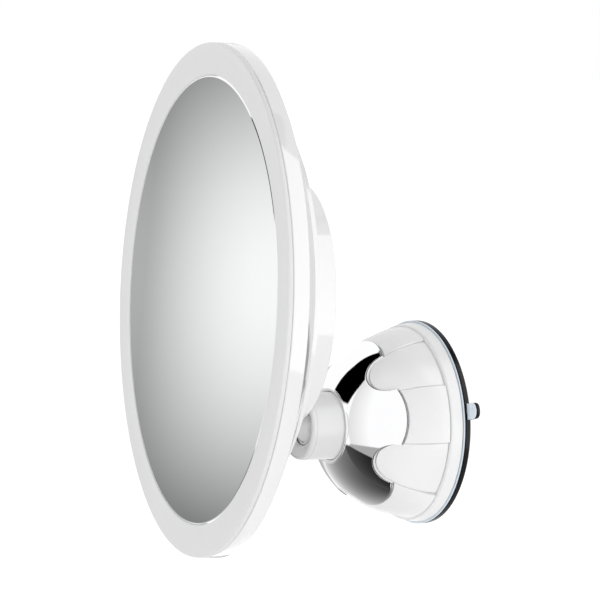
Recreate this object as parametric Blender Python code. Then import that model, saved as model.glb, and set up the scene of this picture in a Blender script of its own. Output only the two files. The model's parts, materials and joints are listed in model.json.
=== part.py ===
"""Lighted makeup mirror on a ball joint and a twist-lock suction mount.

Metres, +Z up. The origin is the centre of the suction pad's flat wall face, at y = 0.
The wall is on the +Y side, and the mirror looks towards -Y.
Mount pieces are turned about the Y axis, with heights counted from the wall.
Head pieces hang on three empties at the ball's centre, with depths counted back from the mirror's front.
"""
import math

import bmesh
import bpy
from mathutils import Matrix, Vector

# Gaps
CLEAR = 0.0003
RUNNING = 0.00035
OVERRUN = 0.0020
MERGE = 0.000001

# Sides of turned pieces
HEAD_SIDES = 48
MOUNT_SIDES = 36
BARREL_SIDES = 28
MID_SIDES = 20
SMALL_SIDES = 12
SCREW_SIDES = 8
NUT_SIDES = 6
ARC_STEPS = 4
EDGE_STEPS = 2
BALL_STEPS = 8
LINER_STEPS = 4
CABLE_STEPS = 3
LENS_STEPS = 9
SMOOTH_ANGLE = math.radians(35.0)

# Glass, tape and tray
GLASS_RADIUS = 0.0870
GLASS_THICK = 0.0030
GLASS_RECESS = 0.0002
GLASS_BEVEL = 0.0006
TAPE_THICK = 0.0010
TAPE_INSET = 0.0170
TAPE_WIDTH = 0.0250
TRAY_THICK = 0.0016
TRAY_STEP = 0.0026
TRAY_LEDGE = 0.0015
TRAY_SCREW_INSET = 0.0067
TRAY_SCREW_COUNT = 3

# Diffuser ring
RING_GROOVE = 0.0005
RING_WIDTH = 0.0125
RING_THICK = 0.0016
RING_SIDE = 0.0019
RING_EDGE = 0.0004
RING_LIP = 0.0014
RING_SPIGOT = 0.0013
RING_SPIGOT_DEPTH = 0.0046

# Housing
HOUSING_WALL = 0.0016
HOUSING_SIDE_ROOM = 0.0013
CONE_WIDTH = 0.0250
CONE_DEPTH = 0.0116
HOUSING_FLANGE = 0.0110
HOUSING_FLANGE_THICK = 0.0018
HOUSING_BULGE = 0.0003
POST_RADIUS = 0.0025
POST_EMBED = 0.0002

# Lights
LED_BOARD_THICK = 0.0012
LED_BOARD_GAP = 0.0011
LED_BOARD_ROOM = 0.0010
LED_WIDTH = 0.0028
LED_HEIGHT = 0.0008
CABLE_RADIUS = 0.00045
CABLE_TURN = 0.0014
CABLE_BEND = 0.0022

# Back cover and hub
COVER_THICK = 0.0015
HUB_WALL = 0.0018
HUB_ROOM = 0.00117
HUB_HEIGHT = 0.0172
HUB_EDGE = 0.0005
COVER_SCREW_COUNT = 4
COVER_SCREW_LENGTH = 0.0060

# Batteries and their door
BATTERY_RADIUS = 0.0071
BATTERY_LENGTH = 0.0500
BATTERY_NUB_RADIUS = 0.0027
BATTERY_NUB = 0.0012
BATTERY_COUNT = 4
BATTERY_GAP = 0.0006
BATTERY_END_ROOM = 0.0045
BATTERY_RISE = 0.0020
BATTERY_TRAY_WALL = 0.0014
BATTERY_TRAY_FLOOR = 0.0012
CONTACT_THICK = 0.0005
CONTACT_WIDTH = 0.0100
DOOR_CORNER = 0.0030
DOOR_TONGUE_HALF = 0.0080
DOOR_TONGUE = 0.0090
DOOR_SCREW_INSET = 0.0042
DOOR_BOSS_HALF = 0.0040
DOOR_BOSS_HEIGHT = 0.0070

# Power switch
BUTTON_RADIUS = 0.0040
BUTTON_PROUD = 0.0012
BUTTON_TRAVEL = 0.0008
BUTTON_FLANGE = 0.0012
BUTTON_FLANGE_THICK = 0.0014
BUTTON_STEM_RADIUS = 0.0020
BUTTON_STEM = 0.0022
BUTTON_ROOM = 0.0067
BUTTON_DOME = 0.0005
PLUNGER_RADIUS = 0.0015
PLUNGER_LENGTH = 0.0030
PLUNGER_SHOWS = 0.0014
SWITCH_SIZE = 0.0060
SWITCH_HEIGHT = 0.0035
SWITCH_BOARD_THICK = 0.0012
SWITCH_BOARD_HALF = 0.0070
SWITCH_BOARD_GAP = 0.0017

# Screws
SCREW_HEAD_RADIUS = 0.0023
SCREW_HEAD = 0.0010
SCREW_RADIUS = 0.0011

# Ball stud and its boss
BALL_RADIUS = 0.0070
BALL_BEHIND_HUB = 0.0092
BALL_BELOW_HUB = 0.0009
NECK_RADIUS = 0.0034
SHANK_RADIUS = 0.0024
SHANK_TIP = 0.0010
BOSS_TIP_RADIUS = 0.0053
BOSS_CONE_RADIUS = 0.0071
BOSS_CONE = 0.0031
BOSS_RADIUS = 0.0080
BOSS_STEP = 0.0008
BOSS_SEAT = 0.0002
BOSS_PROUD = 0.0001
DISH_ROOM = 0.00285
DISH_DEPTH = 0.0030
DISH_RIM = 0.0013
STUD_WASHER_THICK = 0.0010
STUD_WASHER_RADIUS = 0.0055
NUT_THICK = 0.0035
NUT_RADIUS = 0.0045

# Ball socket
LINER_WALL = 0.0009
LINER_GAP = 0.00025
LINER_FRONT_ANGLE = math.radians(60.5)
LINER_BACK_ANGLE = math.radians(125.0)
SEAT_FRONT_ANGLE = math.radians(61.0)
CUP_WALL = 0.00135
CUP_ROOM = 0.0004
CUP_MOUTH = 0.0030
CUP_HOLE = 0.0035
CUP_FLOOR = 0.0003
SPRING_THICK = 0.0006
SPRING_INNER = 0.0050
SPRING_INSET = 0.0004

# Barrel
BARREL_WALL = 0.00295
BARREL_EDGE = 0.0010
BARREL_LIP = 0.00115
BARREL_FLANGE_WIDTH = 0.00235
BARREL_FLANGE = 0.0015
BARREL_BULKHEAD = 0.0020
BARREL_SHOWS = 0.014306
BALL_BELOW_MOUTH = 0.0065
COLLAR_THICK = 0.0027
COLLAR_RECESS = 0.0003
COLLAR_FACE = 0.0004
BARREL_SCREW_HEAD_RADIUS = 0.0028
BARREL_SCREW_HEAD = 0.0018
BARREL_SCREW_RADIUS = 0.0014
BARREL_SCREW_LENGTH = 0.0070

# Suction mount, heights from the wall
PAD_RADIUS = 0.0400
PAD_THICK = 0.0028
PAD_EDGE = 0.0003
PAD_FOOT_INSET = 0.0012
PAD_FOOT_HEIGHT = 0.0009
PAD_RIM = 0.0120
MEMBRANE_THICK = 0.0016
MEMBRANE_SLOPE = 0.0010
BACKING_THICK = 0.0004
BACKING_WIDTH = 0.0100
TAB_LENGTH = 0.0071
TAB_WIDTH = 0.0064
TAB_ROOT = 0.0030
TAB_CLIP = 0.0020
TAB_FOOT = 0.0002
TAB_THICK = 0.0014
TAB_FILM_THICK = 0.0004
TAB_FILM_GAP = 0.0004
TAB_ANGLE = math.radians(9.3)
BASE_INSET = 0.0008
BASE_TAPER = 0.0006
BASE_HEIGHT = 0.0044
BASE_EDGE = 0.0008
BASE_FOOT = 0.0077
BASE_PLATE = 0.0016
SLEEVE_RADIUS = 0.0085
SLEEVE_WALL = 0.0029
SLEEVE_SINK = 0.007564
SLEEVE_END = 0.0025

# Lock
LIFT = 0.0030
LOCK_TURN = math.radians(90.0)
STUD_FLANGE_RADIUS = 0.0140
STUD_FLANGE = 0.0012
STUD_ROOM = 0.0005
STUD_HEIGHT = 0.0190
PIN_RADIUS = 0.0015
PIN_INSET = 0.0005
PIN_HEIGHT = 0.0160
SLOT_HALF_WIDTH = 0.0019
SLOT_END_ROOM = 0.0005
WASHER_THICK = 0.0006
WASHER_WIDTH = 0.0115
CAM_PLATE = 0.0024
CAM_ROOM = 0.0009
CAM_HUB_WIDTH = 0.0050
CAM_SIDES = 40
CAM_DWELL = math.radians(12.0)
CAM_SCREW_INSET = 0.0064
CAM_SCREW_COUNT = 3
CAM_SCREW_LENGTH = 0.0100
CAM_COUNTERBORE = 0.0014

# Chrome dome and its grip
DOME_INSET = 0.0039
DOME_HEIGHT = 0.0368
DOME_WALL = 0.0020
DOME_RIM = 0.0014
DOME_RIM_ROUND = 0.0004
DOME_STEPS = 6
DOME_POST_RADIUS = 0.0030
DOME_POST_SKIN = 0.0013
PETAL_THICK = 0.0013
PETAL_LONG_SINK = 0.0003
PETAL_SHORT_FLARE = 0.0007
PETAL_STEP = math.radians(0.5)
PETAL_PAIRS = 5
PETAL_GAP = 0.0004
PETAL_LONG_STEPS = 4
PETAL_SHORT_STEPS = 3
PETAL_ROWS = 4
PETAL_START = math.radians(45.0)
PETAL_LONG_HALF = math.radians(16.5)
PETAL_FOOT_HALF = math.radians(18.3)
PETAL_TIP = math.radians(46.1)
PETAL_CORNER = math.radians(61.4)
PETAL_DIP = math.radians(64.3)
PETAL_ROUND_SHARE = 2.2

# Pose of the head at rest
REST_YAW = math.radians(-8.8)
REST_PITCH = math.radians(-2.7)

# Colours
WHITE = (0.86, 0.86, 0.86)
OPAL = (0.80, 0.81, 0.80)
SILVER = (0.85, 0.86, 0.87)
CHROME = (0.78, 0.78, 0.79)
BLACK = (0.02, 0.02, 0.022)
BLUE = (0.55, 0.72, 0.80)
STEEL = (0.60, 0.60, 0.61)
BOARD = (0.85, 0.86, 0.84)
GREEN = (0.05, 0.20, 0.10)
YELLOW = (0.85, 0.75, 0.45)
NYLON = (0.75, 0.74, 0.70)
GREY = (0.25, 0.25, 0.26)
COPPER = (0.75, 0.35, 0.20)

# Places worked out from the sizes above
MEMBRANE_RADIUS = PAD_RADIUS - PAD_RIM
BACKING_INNER = PAD_RADIUS - BACKING_WIDTH
BASE_RADIUS = PAD_RADIUS - BASE_INSET
BASE_FOOT_HEIGHT = PAD_THICK + CLEAR + BACKING_THICK + CLEAR
BASE_TOP = BASE_FOOT_HEIGHT + BASE_HEIGHT
LINER_INNER = BALL_RADIUS + LINER_GAP
LINER_OUTER = LINER_INNER + LINER_WALL
SEAT_RADIUS = LINER_OUTER + CLEAR
CUP_RADIUS = SEAT_RADIUS + CUP_WALL
SPRING_OUTER = CUP_RADIUS - SPRING_INSET
BARREL_BORE = CUP_RADIUS + CUP_ROOM
BARREL_RADIUS = BARREL_BORE + BARREL_WALL
BARREL_FLANGE_RADIUS = BARREL_RADIUS + BARREL_FLANGE_WIDTH
DOME_CENTRE = BASE_TOP
DOME_RADIUS = BASE_RADIUS - DOME_INSET
DOME_BORE = BARREL_RADIUS + RUNNING
DOME_RIM_RADIUS = DOME_BORE + DOME_RIM
DOME_RIM_HEIGHT = DOME_CENTRE + DOME_HEIGHT * math.sqrt(1 - (DOME_RIM_RADIUS / DOME_RADIUS) ** 2)
SLEEVE_TOP = DOME_RIM_HEIGHT - SLEEVE_SINK
SLEEVE_BORE = SLEEVE_RADIUS - SLEEVE_WALL
BARREL_FOOT = SLEEVE_TOP + CLEAR
BARREL_FLOOR = BARREL_FOOT + BARREL_BULKHEAD
BARREL_MOUTH = DOME_RIM_HEIGHT + BARREL_SHOWS
BALL_HEIGHT = BARREL_MOUTH - BALL_BELOW_MOUTH
COLLAR_OUTER = BARREL_RADIUS - BARREL_LIP - CLEAR
COLLAR_TOP = BARREL_MOUTH - COLLAR_RECESS
HEAD_RADIUS = GLASS_RADIUS + RING_GROOVE + RING_WIDTH
TAPE_DEPTH = GLASS_RECESS + GLASS_THICK + CLEAR
TAPE_OUTER = GLASS_RADIUS - TAPE_INSET
TAPE_INNER = TAPE_OUTER - TAPE_WIDTH
TRAY_DEPTH = TAPE_DEPTH + TAPE_THICK + CLEAR
TRAY_RADIUS = GLASS_RADIUS - CLEAR
TRAY_BACK = TRAY_DEPTH + TRAY_THICK
TRAY_SCREW_CIRCLE = TRAY_RADIUS - TRAY_SCREW_INSET
FLANGE_DEPTH = TRAY_DEPTH + TRAY_STEP
LED_BOARD_DEPTH = FLANGE_DEPTH - CLEAR - LED_BOARD_THICK
LED_BOARD_INNER = GLASS_RADIUS + RING_GROOVE + RING_LIP + LED_BOARD_GAP
LED_BOARD_OUTER = HEAD_RADIUS - HOUSING_WALL - LED_BOARD_ROOM
LED_CIRCLE = (LED_BOARD_INNER + LED_BOARD_OUTER) / 2
TRAY_FLANGE_RADIUS = LED_BOARD_INNER + TRAY_LEDGE
HOUSING_SIDE_DEPTH = LED_BOARD_DEPTH + LED_BOARD_THICK + HOUSING_SIDE_ROOM
HOUSING_BACK_RADIUS = HEAD_RADIUS - CONE_WIDTH
HOUSING_FLANGE_INNER = HOUSING_BACK_RADIUS - HOUSING_FLANGE
COVER_DEPTH = HOUSING_SIDE_DEPTH + CONE_DEPTH
COVER_BACK = COVER_DEPTH + COVER_THICK
COVER_SCREW_CIRCLE = HOUSING_BACK_RADIUS - HOUSING_FLANGE / 2
CONE_SLOPE = (CONE_DEPTH - CLEAR) / CONE_WIDTH
CONE_WALL = HOUSING_WALL * math.sqrt(1 + CONE_SLOPE ** 2)
BATTERY_PITCH = 2 * BATTERY_RADIUS + BATTERY_GAP
BATTERY_CAVITY_HALF_WIDTH = BATTERY_PITCH * BATTERY_COUNT / 2 + BATTERY_GAP / 2
BATTERY_CAVITY_HALF_LENGTH = BATTERY_LENGTH / 2 + BATTERY_END_ROOM / 2 + BATTERY_NUB / 2
TRAY_HALF_WIDTH = BATTERY_CAVITY_HALF_WIDTH + BATTERY_TRAY_WALL
TRAY_REACH = BATTERY_RISE + BATTERY_CAVITY_HALF_LENGTH + BATTERY_TRAY_WALL
HUB_RADIUS = math.hypot(TRAY_HALF_WIDTH, TRAY_REACH) + HUB_ROOM + HUB_WALL
HUB_DEPTH = COVER_BACK + HUB_HEIGHT
HUB_INSIDE = HUB_DEPTH - HUB_WALL
BALL_DEPTH = HUB_DEPTH + BALL_BEHIND_HUB
BALL_DROP = HUB_RADIUS + BALL_BELOW_HUB
BOSS_DEPTH = HUB_DEPTH + BOSS_PROUD
DISH_RADIUS = BARREL_RADIUS + DISH_ROOM
BATTERY_DEPTH = HUB_INSIDE - BATTERY_GAP - BATTERY_RADIUS
BATTERY_FLOOR_DEPTH = BATTERY_DEPTH - BATTERY_RADIUS - CLEAR
DOOR_TOP = BATTERY_CAVITY_HALF_LENGTH + DOOR_TONGUE
DOOR_SCREW_Z = BATTERY_RISE + DOOR_TOP - DOOR_SCREW_INSET
BUTTON_X = TRAY_HALF_WIDTH + BUTTON_ROOM
SWITCH_BOARD_INNER = TRAY_HALF_WIDTH + SWITCH_BOARD_GAP
BUTTON_FLANGE_BACK = HUB_INSIDE - CLEAR
BUTTON_STEM_FRONT = BUTTON_FLANGE_BACK - BUTTON_FLANGE_THICK - BUTTON_STEM
PLUNGER_BACK = BUTTON_STEM_FRONT - CLEAR
SWITCH_BACK = PLUNGER_BACK - PLUNGER_SHOWS
SWITCH_BOARD_BACK = SWITCH_BACK - SWITCH_HEIGHT - CLEAR
STUD_FLANGE_FOOT = MEMBRANE_THICK + CLEAR
STUD_RADIUS = SLEEVE_BORE - STUD_ROOM
WASHER_RADIUS = SLEEVE_RADIUS + WASHER_WIDTH
CAM_HUB_RADIUS = SLEEVE_RADIUS + CAM_HUB_WIDTH
PIN_HALF_LENGTH = CAM_HUB_RADIUS - PIN_INSET
CAM_PLATE_RADIUS = DOME_RADIUS - DOME_WALL - CAM_ROOM
CAM_SCREW_CIRCLE = CAM_PLATE_RADIUS - CAM_SCREW_INSET
CAM_PLATE_FOOT = BASE_TOP + CLEAR + WASHER_THICK + CLEAR
CAM_LOW = PIN_HEIGHT - PIN_RADIUS - CLEAR
DOME_POST_REACH = CAM_SCREW_CIRCLE + DOME_POST_RADIUS
DOME_AT_POSTS = DOME_CENTRE + DOME_HEIGHT * math.sqrt(1 - (DOME_POST_REACH / DOME_RADIUS) ** 2)
DOME_POST_TOP = DOME_AT_POSTS - DOME_POST_SKIN


def clear_scene():
    for item in list(bpy.data.objects):
        bpy.data.objects.remove(item, do_unlink=True)


def material(name, colour, roughness, metallic):
    made = bpy.data.materials.new(name)
    made.use_nodes = True
    shader = made.node_tree.nodes["Principled BSDF"]
    shader.inputs["Base Color"].default_value = (*colour, 1.0)
    shader.inputs["Roughness"].default_value = roughness
    shader.inputs["Metallic"].default_value = metallic
    return made


def node(name, shapes, colour, parent=None, roughness=0.35, metallic=0.0):
    """One named object made of the given closed shapes."""
    merged = bmesh.new()
    for shape in shapes:
        mesh = bpy.data.meshes.new("shape")
        shape.to_mesh(mesh)
        shape.free()
        merged.from_mesh(mesh)
        bpy.data.meshes.remove(mesh)
    mesh = bpy.data.meshes.new(name)
    merged.to_mesh(mesh)
    merged.free()
    mesh.shade_smooth()
    mesh.set_sharp_from_angle(angle=SMOOTH_ANGLE)
    mesh.materials.append(material(name, colour, roughness, metallic))
    made = bpy.data.objects.new(name, mesh)
    bpy.context.scene.collection.objects.link(made)
    made.parent = parent
    return made


def guide(name, shapes, parent=None):
    """A hidden shape that only cuts or fills another."""
    made = node(name, shapes, GREY, parent)
    made.hide_render = True
    made.display_type = "WIRE"
    return made


def combine(target, tool, operation):
    modifier = target.modifiers.new(tool.name, "BOOLEAN")
    modifier.operation = operation
    modifier.solver = "EXACT"
    modifier.object = tool


def turned(profile, sides, centre=(0, 0)):
    """Closed body turned about a line along Y. The profile holds (radius, y), from axis to axis or closed."""
    bm = bmesh.new()
    verts = [bm.verts.new((centre[0] + radius, y, centre[1])) for radius, y in profile]
    edges = [bm.edges.new(pair) for pair in zip(verts, verts[1:])]
    if profile[0][0] > 0 or profile[-1][0] > 0:
        edges.append(bm.edges.new((verts[-1], verts[0])))
    bmesh.ops.spin(
        bm, geom=verts + edges, cent=(centre[0], 0, centre[1]), axis=(0, 1, 0),
        angle=math.tau, steps=sides, use_merge=True,
    )
    bmesh.ops.remove_doubles(bm, verts=bm.verts, dist=MERGE)
    bmesh.ops.recalc_face_normals(bm, faces=bm.faces)
    return bm


def rod(radius, y_low, y_high, sides, centre=(0, 0)):
    return turned([(0, y_low), (radius, y_low), (radius, y_high), (0, y_high)], sides, centre)


def tube(inner, outer, y_low, y_high, sides, centre=(0, 0)):
    return turned([(inner, y_low), (outer, y_low), (outer, y_high), (inner, y_high)], sides, centre)


def box(low, high):
    bm = bmesh.new()
    bmesh.ops.create_cube(bm, size=1)
    size = [b - a for a, b in zip(low, high)]
    middle = [(a + b) / 2 for a, b in zip(low, high)]
    bm.transform(Matrix.Translation(middle) @ Matrix.Diagonal((*size, 1)))
    return bm


def prism(outline, y_low, y_high):
    """The outline's (x, z) points, extruded along Y."""
    bm = bmesh.new()
    face = bm.faces.new([bm.verts.new((x, y_low, z)) for x, z in outline])
    grown = bmesh.ops.extrude_face_region(bm, geom=[face])
    moved = [item for item in grown["geom"] if isinstance(item, bmesh.types.BMVert)]
    bmesh.ops.translate(bm, verts=moved, vec=(0, y_high - y_low, 0))
    bmesh.ops.recalc_face_normals(bm, faces=bm.faces)
    return bm


def arc(radius, start, end, steps, centre=(0, 0)):
    """Points (x, y) on an arc whose angles are counted from the first axis."""
    turns = [start + (end - start) * i / steps for i in range(steps + 1)]
    return [(centre[0] + radius * math.cos(t), centre[1] + radius * math.sin(t)) for t in turns]


def around(count, radius, start=0.0):
    """Places (x, z) evenly spaced on a circle."""
    turns = [start + math.tau * i / count for i in range(count)]
    return [(radius * math.cos(t), radius * math.sin(t)) for t in turns]


def head_y(depth):
    """Local y of a depth behind the mirror's front plane."""
    return depth - BALL_DEPTH


def head_profile(points):
    return [(radius, head_y(depth)) for radius, depth in points]


def head_turned(points, sides=HEAD_SIDES, place=(0, 0)):
    return turned(head_profile(points), sides, (place[0], BALL_DROP + place[1]))


def head_rod(radius, depth_low, depth_high, sides, place=(0, 0)):
    points = [(0, depth_low), (radius, depth_low), (radius, depth_high), (0, depth_high)]
    return head_turned(points, sides, place)


def head_box(low, high):
    """Box from (x, depth, z) corners about the head's own centre."""
    return box((low[0], head_y(low[1]), BALL_DROP + low[2]), (high[0], head_y(high[1]), BALL_DROP + high[2]))


def cone_outside(radius):
    return HOUSING_SIDE_DEPTH + (HEAD_RADIUS - radius) * CONE_SLOPE


def cone_inside(radius):
    return cone_outside(radius) - CONE_WALL


def head_screw(place, head_from, head_to, tip):
    """Pan-head screw along Y. head_from is the flat top's depth, and tip is the shank's end."""
    points = [
        (0, head_from), (SCREW_HEAD_RADIUS, head_from), (SCREW_HEAD_RADIUS, head_to),
        (SCREW_RADIUS, head_to), (SCREW_RADIUS, tip), (0, tip),
    ]
    return head_turned(points, SCREW_SIDES, place)


def make_mirror_glass(parent):
    front = GLASS_RECESS
    back = GLASS_RECESS + GLASS_THICK
    points = [
        (0, front), (GLASS_RADIUS - GLASS_BEVEL, front), (GLASS_RADIUS, front + GLASS_BEVEL),
        (GLASS_RADIUS, back), (0, back),
    ]
    node("mirror_glass", [head_turned(points)], SILVER, parent, roughness=0.02, metallic=1.0)


def make_mirror_tape(parent):
    back = TAPE_DEPTH + TAPE_THICK
    points = [(TAPE_INNER, TAPE_DEPTH), (TAPE_OUTER, TAPE_DEPTH), (TAPE_OUTER, back), (TAPE_INNER, back)]
    node("mirror_tape", [head_turned(points, MID_SIDES)], WHITE, parent, roughness=0.9)


def make_mirror_tray(parent):
    inner = TRAY_RADIUS - TRAY_THICK
    flange_back = FLANGE_DEPTH + TRAY_THICK
    points = [
        (0, TRAY_DEPTH), (TRAY_RADIUS, TRAY_DEPTH), (TRAY_RADIUS, FLANGE_DEPTH),
        (TRAY_FLANGE_RADIUS, FLANGE_DEPTH), (TRAY_FLANGE_RADIUS, flange_back),
        (inner, flange_back), (inner, TRAY_BACK), (0, TRAY_BACK),
    ]
    tray = node("mirror_tray", [head_turned(points)], WHITE, parent, roughness=0.5)
    places = around(TRAY_SCREW_COUNT, TRAY_SCREW_CIRCLE)
    hole = SCREW_RADIUS + CLEAR
    low = TRAY_DEPTH - OVERRUN
    high = TRAY_BACK + OVERRUN
    holes = [head_rod(hole, low, high, SCREW_SIDES, place) for place in places]
    combine(tray, guide("tray_holes", holes, parent), "DIFFERENCE")


def steel_node(name, shape, parent=None):
    return node(name, [shape], STEEL, parent, roughness=0.3, metallic=1.0)


def make_tray_screws(parent):
    places = around(TRAY_SCREW_COUNT, TRAY_SCREW_CIRCLE)
    head_to = TRAY_DEPTH - CLEAR
    tip = cone_inside(TRAY_SCREW_CIRCLE) - HOUSING_WALL
    for i, place in enumerate(places):
        steel_node(f"tray_screw_{i + 1}", head_screw(place, head_to - SCREW_HEAD, head_to, tip), parent)


def make_diffuser_ring(parent):
    inner = GLASS_RADIUS + RING_GROOVE
    spigot = HEAD_RADIUS - HOUSING_WALL - CLEAR
    lip_depth = FLANGE_DEPTH - CLEAR
    points = [
        (inner, 0), (HEAD_RADIUS - RING_EDGE, 0), (HEAD_RADIUS, RING_EDGE), (HEAD_RADIUS, RING_SIDE),
        (spigot, RING_SIDE), (spigot, RING_SPIGOT_DEPTH), (spigot - RING_SPIGOT, RING_SPIGOT_DEPTH),
        (spigot - RING_SPIGOT, RING_THICK), (inner + RING_LIP, RING_THICK), (inner + RING_LIP, lip_depth),
        (inner, lip_depth),
    ]
    node("diffuser_ring", [head_turned(points)], OPAL, parent, roughness=0.45)


def make_led_board(parent):
    back = LED_BOARD_DEPTH + LED_BOARD_THICK
    points = [
        (LED_BOARD_INNER, LED_BOARD_DEPTH), (LED_BOARD_OUTER, LED_BOARD_DEPTH),
        (LED_BOARD_OUTER, back), (LED_BOARD_INNER, back),
    ]
    node("led_board", [head_turned(points, BARREL_SIDES)], BOARD, parent, roughness=0.5)


def make_led_strip(parent):
    back = LED_BOARD_DEPTH - CLEAR
    front = back - LED_HEIGHT
    inner = LED_CIRCLE - LED_WIDTH / 2
    outer = LED_CIRCLE + LED_WIDTH / 2
    strip = head_turned([(inner, front), (outer, front), (outer, back), (inner, back)], BARREL_SIDES)
    node("led_strip", [strip], YELLOW, parent, roughness=0.3)


def make_front_housing(parent):
    rim = RING_SIDE + CLEAR
    inner = HEAD_RADIUS - HOUSING_WALL
    back = COVER_DEPTH - CLEAR
    shelf = back - HOUSING_FLANGE_THICK
    shelf_radius = HEAD_RADIUS - (shelf + CONE_WALL - HOUSING_SIDE_DEPTH) / CONE_SLOPE
    middle = (HEAD_RADIUS + HOUSING_BACK_RADIUS) / 2
    points = [
        (HEAD_RADIUS, rim), (HEAD_RADIUS, HOUSING_SIDE_DEPTH),
        (middle, cone_outside(middle) + HOUSING_BULGE), (HOUSING_BACK_RADIUS, back),
        (HOUSING_FLANGE_INNER, back), (HOUSING_FLANGE_INNER, shelf), (shelf_radius, shelf),
        (inner, cone_inside(inner)), (inner, rim),
    ]
    housing = node("front_housing", [head_turned(points)], WHITE, parent)
    places = around(TRAY_SCREW_COUNT, TRAY_SCREW_CIRCLE)
    low = TRAY_BACK + CLEAR
    high = cone_inside(TRAY_SCREW_CIRCLE) + POST_EMBED
    posts = [head_rod(POST_RADIUS, low, high, SMALL_SIDES, place) for place in places]
    combine(housing, guide("tray_posts", posts, parent), "UNION")
    pilot = SCREW_RADIUS + CLEAR
    tip = cone_inside(TRAY_SCREW_CIRCLE) - HOUSING_WALL + CLEAR
    pilots = [head_rod(pilot, low - OVERRUN, tip, SCREW_SIDES, place) for place in places]
    cover_places = around(COVER_SCREW_COUNT, COVER_SCREW_CIRCLE, math.pi / COVER_SCREW_COUNT)
    pilots += [head_rod(pilot, shelf - OVERRUN, back + OVERRUN, SCREW_SIDES, place) for place in cover_places]
    combine(housing, guide("housing_pilots", pilots, parent), "DIFFERENCE")


def lens_outline(radius, hub_radius):
    """Part of a circle about the ball's axis that lies within a circle about the hub's centre."""
    cosine = (radius ** 2 + BALL_DROP ** 2 - hub_radius ** 2) / (2 * radius * BALL_DROP)
    spread = math.acos(cosine)
    top = arc(radius, math.pi / 2 - spread, math.pi / 2 + spread, LENS_STEPS)
    half = math.asin(radius * math.sin(spread) / hub_radius)
    bottom = arc(hub_radius, -math.pi / 2 - half, -math.pi / 2 + half, LENS_STEPS, (0, BALL_DROP))
    return top + bottom[1:-1]


def door_outline(margin):
    """Door seen from behind, grown outwards by the margin, about the hub's centre."""
    half = BATTERY_CAVITY_HALF_WIDTH - CLEAR + margin
    low = BATTERY_RISE - BATTERY_CAVITY_HALF_LENGTH + CLEAR - margin
    high = BATTERY_RISE + BATTERY_CAVITY_HALF_LENGTH - CLEAR + margin
    tongue = DOOR_TONGUE_HALF + margin
    top = BATTERY_RISE + DOOR_TOP + margin
    cut = DOOR_CORNER
    return [
        (-half + cut, low), (half - cut, low), (half, low + cut), (half, high - cut), (half - cut, high),
        (tongue, high), (tongue, top - cut), (tongue - cut, top), (-tongue + cut, top), (-tongue, top - cut),
        (-tongue, high), (-half + cut, high), (-half, high - cut), (-half, low + cut),
    ]


def head_prism(outline, depth_low, depth_high):
    raised = [(x, BALL_DROP + z) for x, z in outline]
    return prism(raised, head_y(depth_low), head_y(depth_high))


def make_back_cover(parent):
    inner = HUB_RADIUS - HUB_WALL
    edge = arc(HUB_EDGE, 0, math.pi / 2, EDGE_STEPS, (HUB_RADIUS - HUB_EDGE, HUB_DEPTH - HUB_EDGE))
    points = [
        (0, HUB_INSIDE), (inner, HUB_INSIDE), (inner, COVER_DEPTH), (HOUSING_BACK_RADIUS, COVER_DEPTH),
        (HOUSING_BACK_RADIUS, COVER_BACK), (HUB_RADIUS, COVER_BACK), *edge, (0, HUB_DEPTH),
    ]
    cover = node("back_cover", [head_turned(points)], WHITE, parent)
    opening = head_prism(door_outline(CLEAR), HUB_INSIDE - CLEAR / 2, HUB_DEPTH + OVERRUN)
    combine(cover, guide("door_opening", [opening], parent), "DIFFERENCE")
    pan_radius = DISH_RADIUS + HUB_WALL
    pan_hub = (HUB_RADIUS + inner) / 2
    pan = prism(lens_outline(pan_radius, pan_hub), head_y(HUB_DEPTH - DISH_DEPTH - HUB_WALL),
                head_y((HUB_DEPTH + HUB_INSIDE) / 2))
    combine(cover, guide("dish_pan", [pan], parent), "UNION")
    dish = prism(lens_outline(DISH_RADIUS, HUB_RADIUS - DISH_RIM), head_y(HUB_DEPTH - DISH_DEPTH),
                 head_y(HUB_DEPTH + OVERRUN))
    combine(cover, guide("dish_cut", [dish], parent), "DIFFERENCE")
    cone_foot = BOSS_DEPTH - BOSS_CONE
    boss_front = COVER_DEPTH + BOSS_SEAT
    boss = turned(head_profile([
        (0, boss_front), (BOSS_RADIUS, boss_front), (BOSS_RADIUS, cone_foot - BOSS_STEP),
        (BOSS_CONE_RADIUS, cone_foot), (BOSS_TIP_RADIUS, BOSS_DEPTH), (0, BOSS_DEPTH),
    ]), MID_SIDES)
    combine(cover, guide("stud_boss", [boss], parent), "UNION")
    rib_low = TRAY_REACH + CLEAR
    rib_back = HUB_INSIDE - CLEAR
    rib = head_box((-DOOR_BOSS_HALF, rib_back - DOOR_BOSS_HEIGHT, rib_low),
                   (DOOR_BOSS_HALF, rib_back, (inner + HUB_RADIUS) / 2))
    combine(cover, guide("door_boss", [rib], parent), "UNION")
    shank_hole = rod(SHANK_RADIUS + RUNNING, head_y(COVER_DEPTH - OVERRUN), head_y(HUB_DEPTH + OVERRUN),
                     MID_SIDES)
    button_hole = head_rod(BUTTON_RADIUS + RUNNING, HUB_INSIDE - OVERRUN, HUB_DEPTH + OVERRUN, MID_SIDES,
                           (BUTTON_X, 0))
    places = around(COVER_SCREW_COUNT, COVER_SCREW_CIRCLE, math.pi / COVER_SCREW_COUNT)
    pilot = SCREW_RADIUS + CLEAR
    low = COVER_DEPTH - OVERRUN
    high = COVER_BACK + OVERRUN
    holes = [head_rod(pilot, low, high, SCREW_SIDES, place) for place in places]
    door_pilot = head_rod(pilot, rib_back - DOOR_BOSS_HEIGHT + OVERRUN / 2, HUB_DEPTH, SCREW_SIDES,
                          (0, DOOR_SCREW_Z))
    combine(cover, guide("cover_holes", [shank_hole, button_hole, door_pilot, *holes], parent), "DIFFERENCE")


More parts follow.
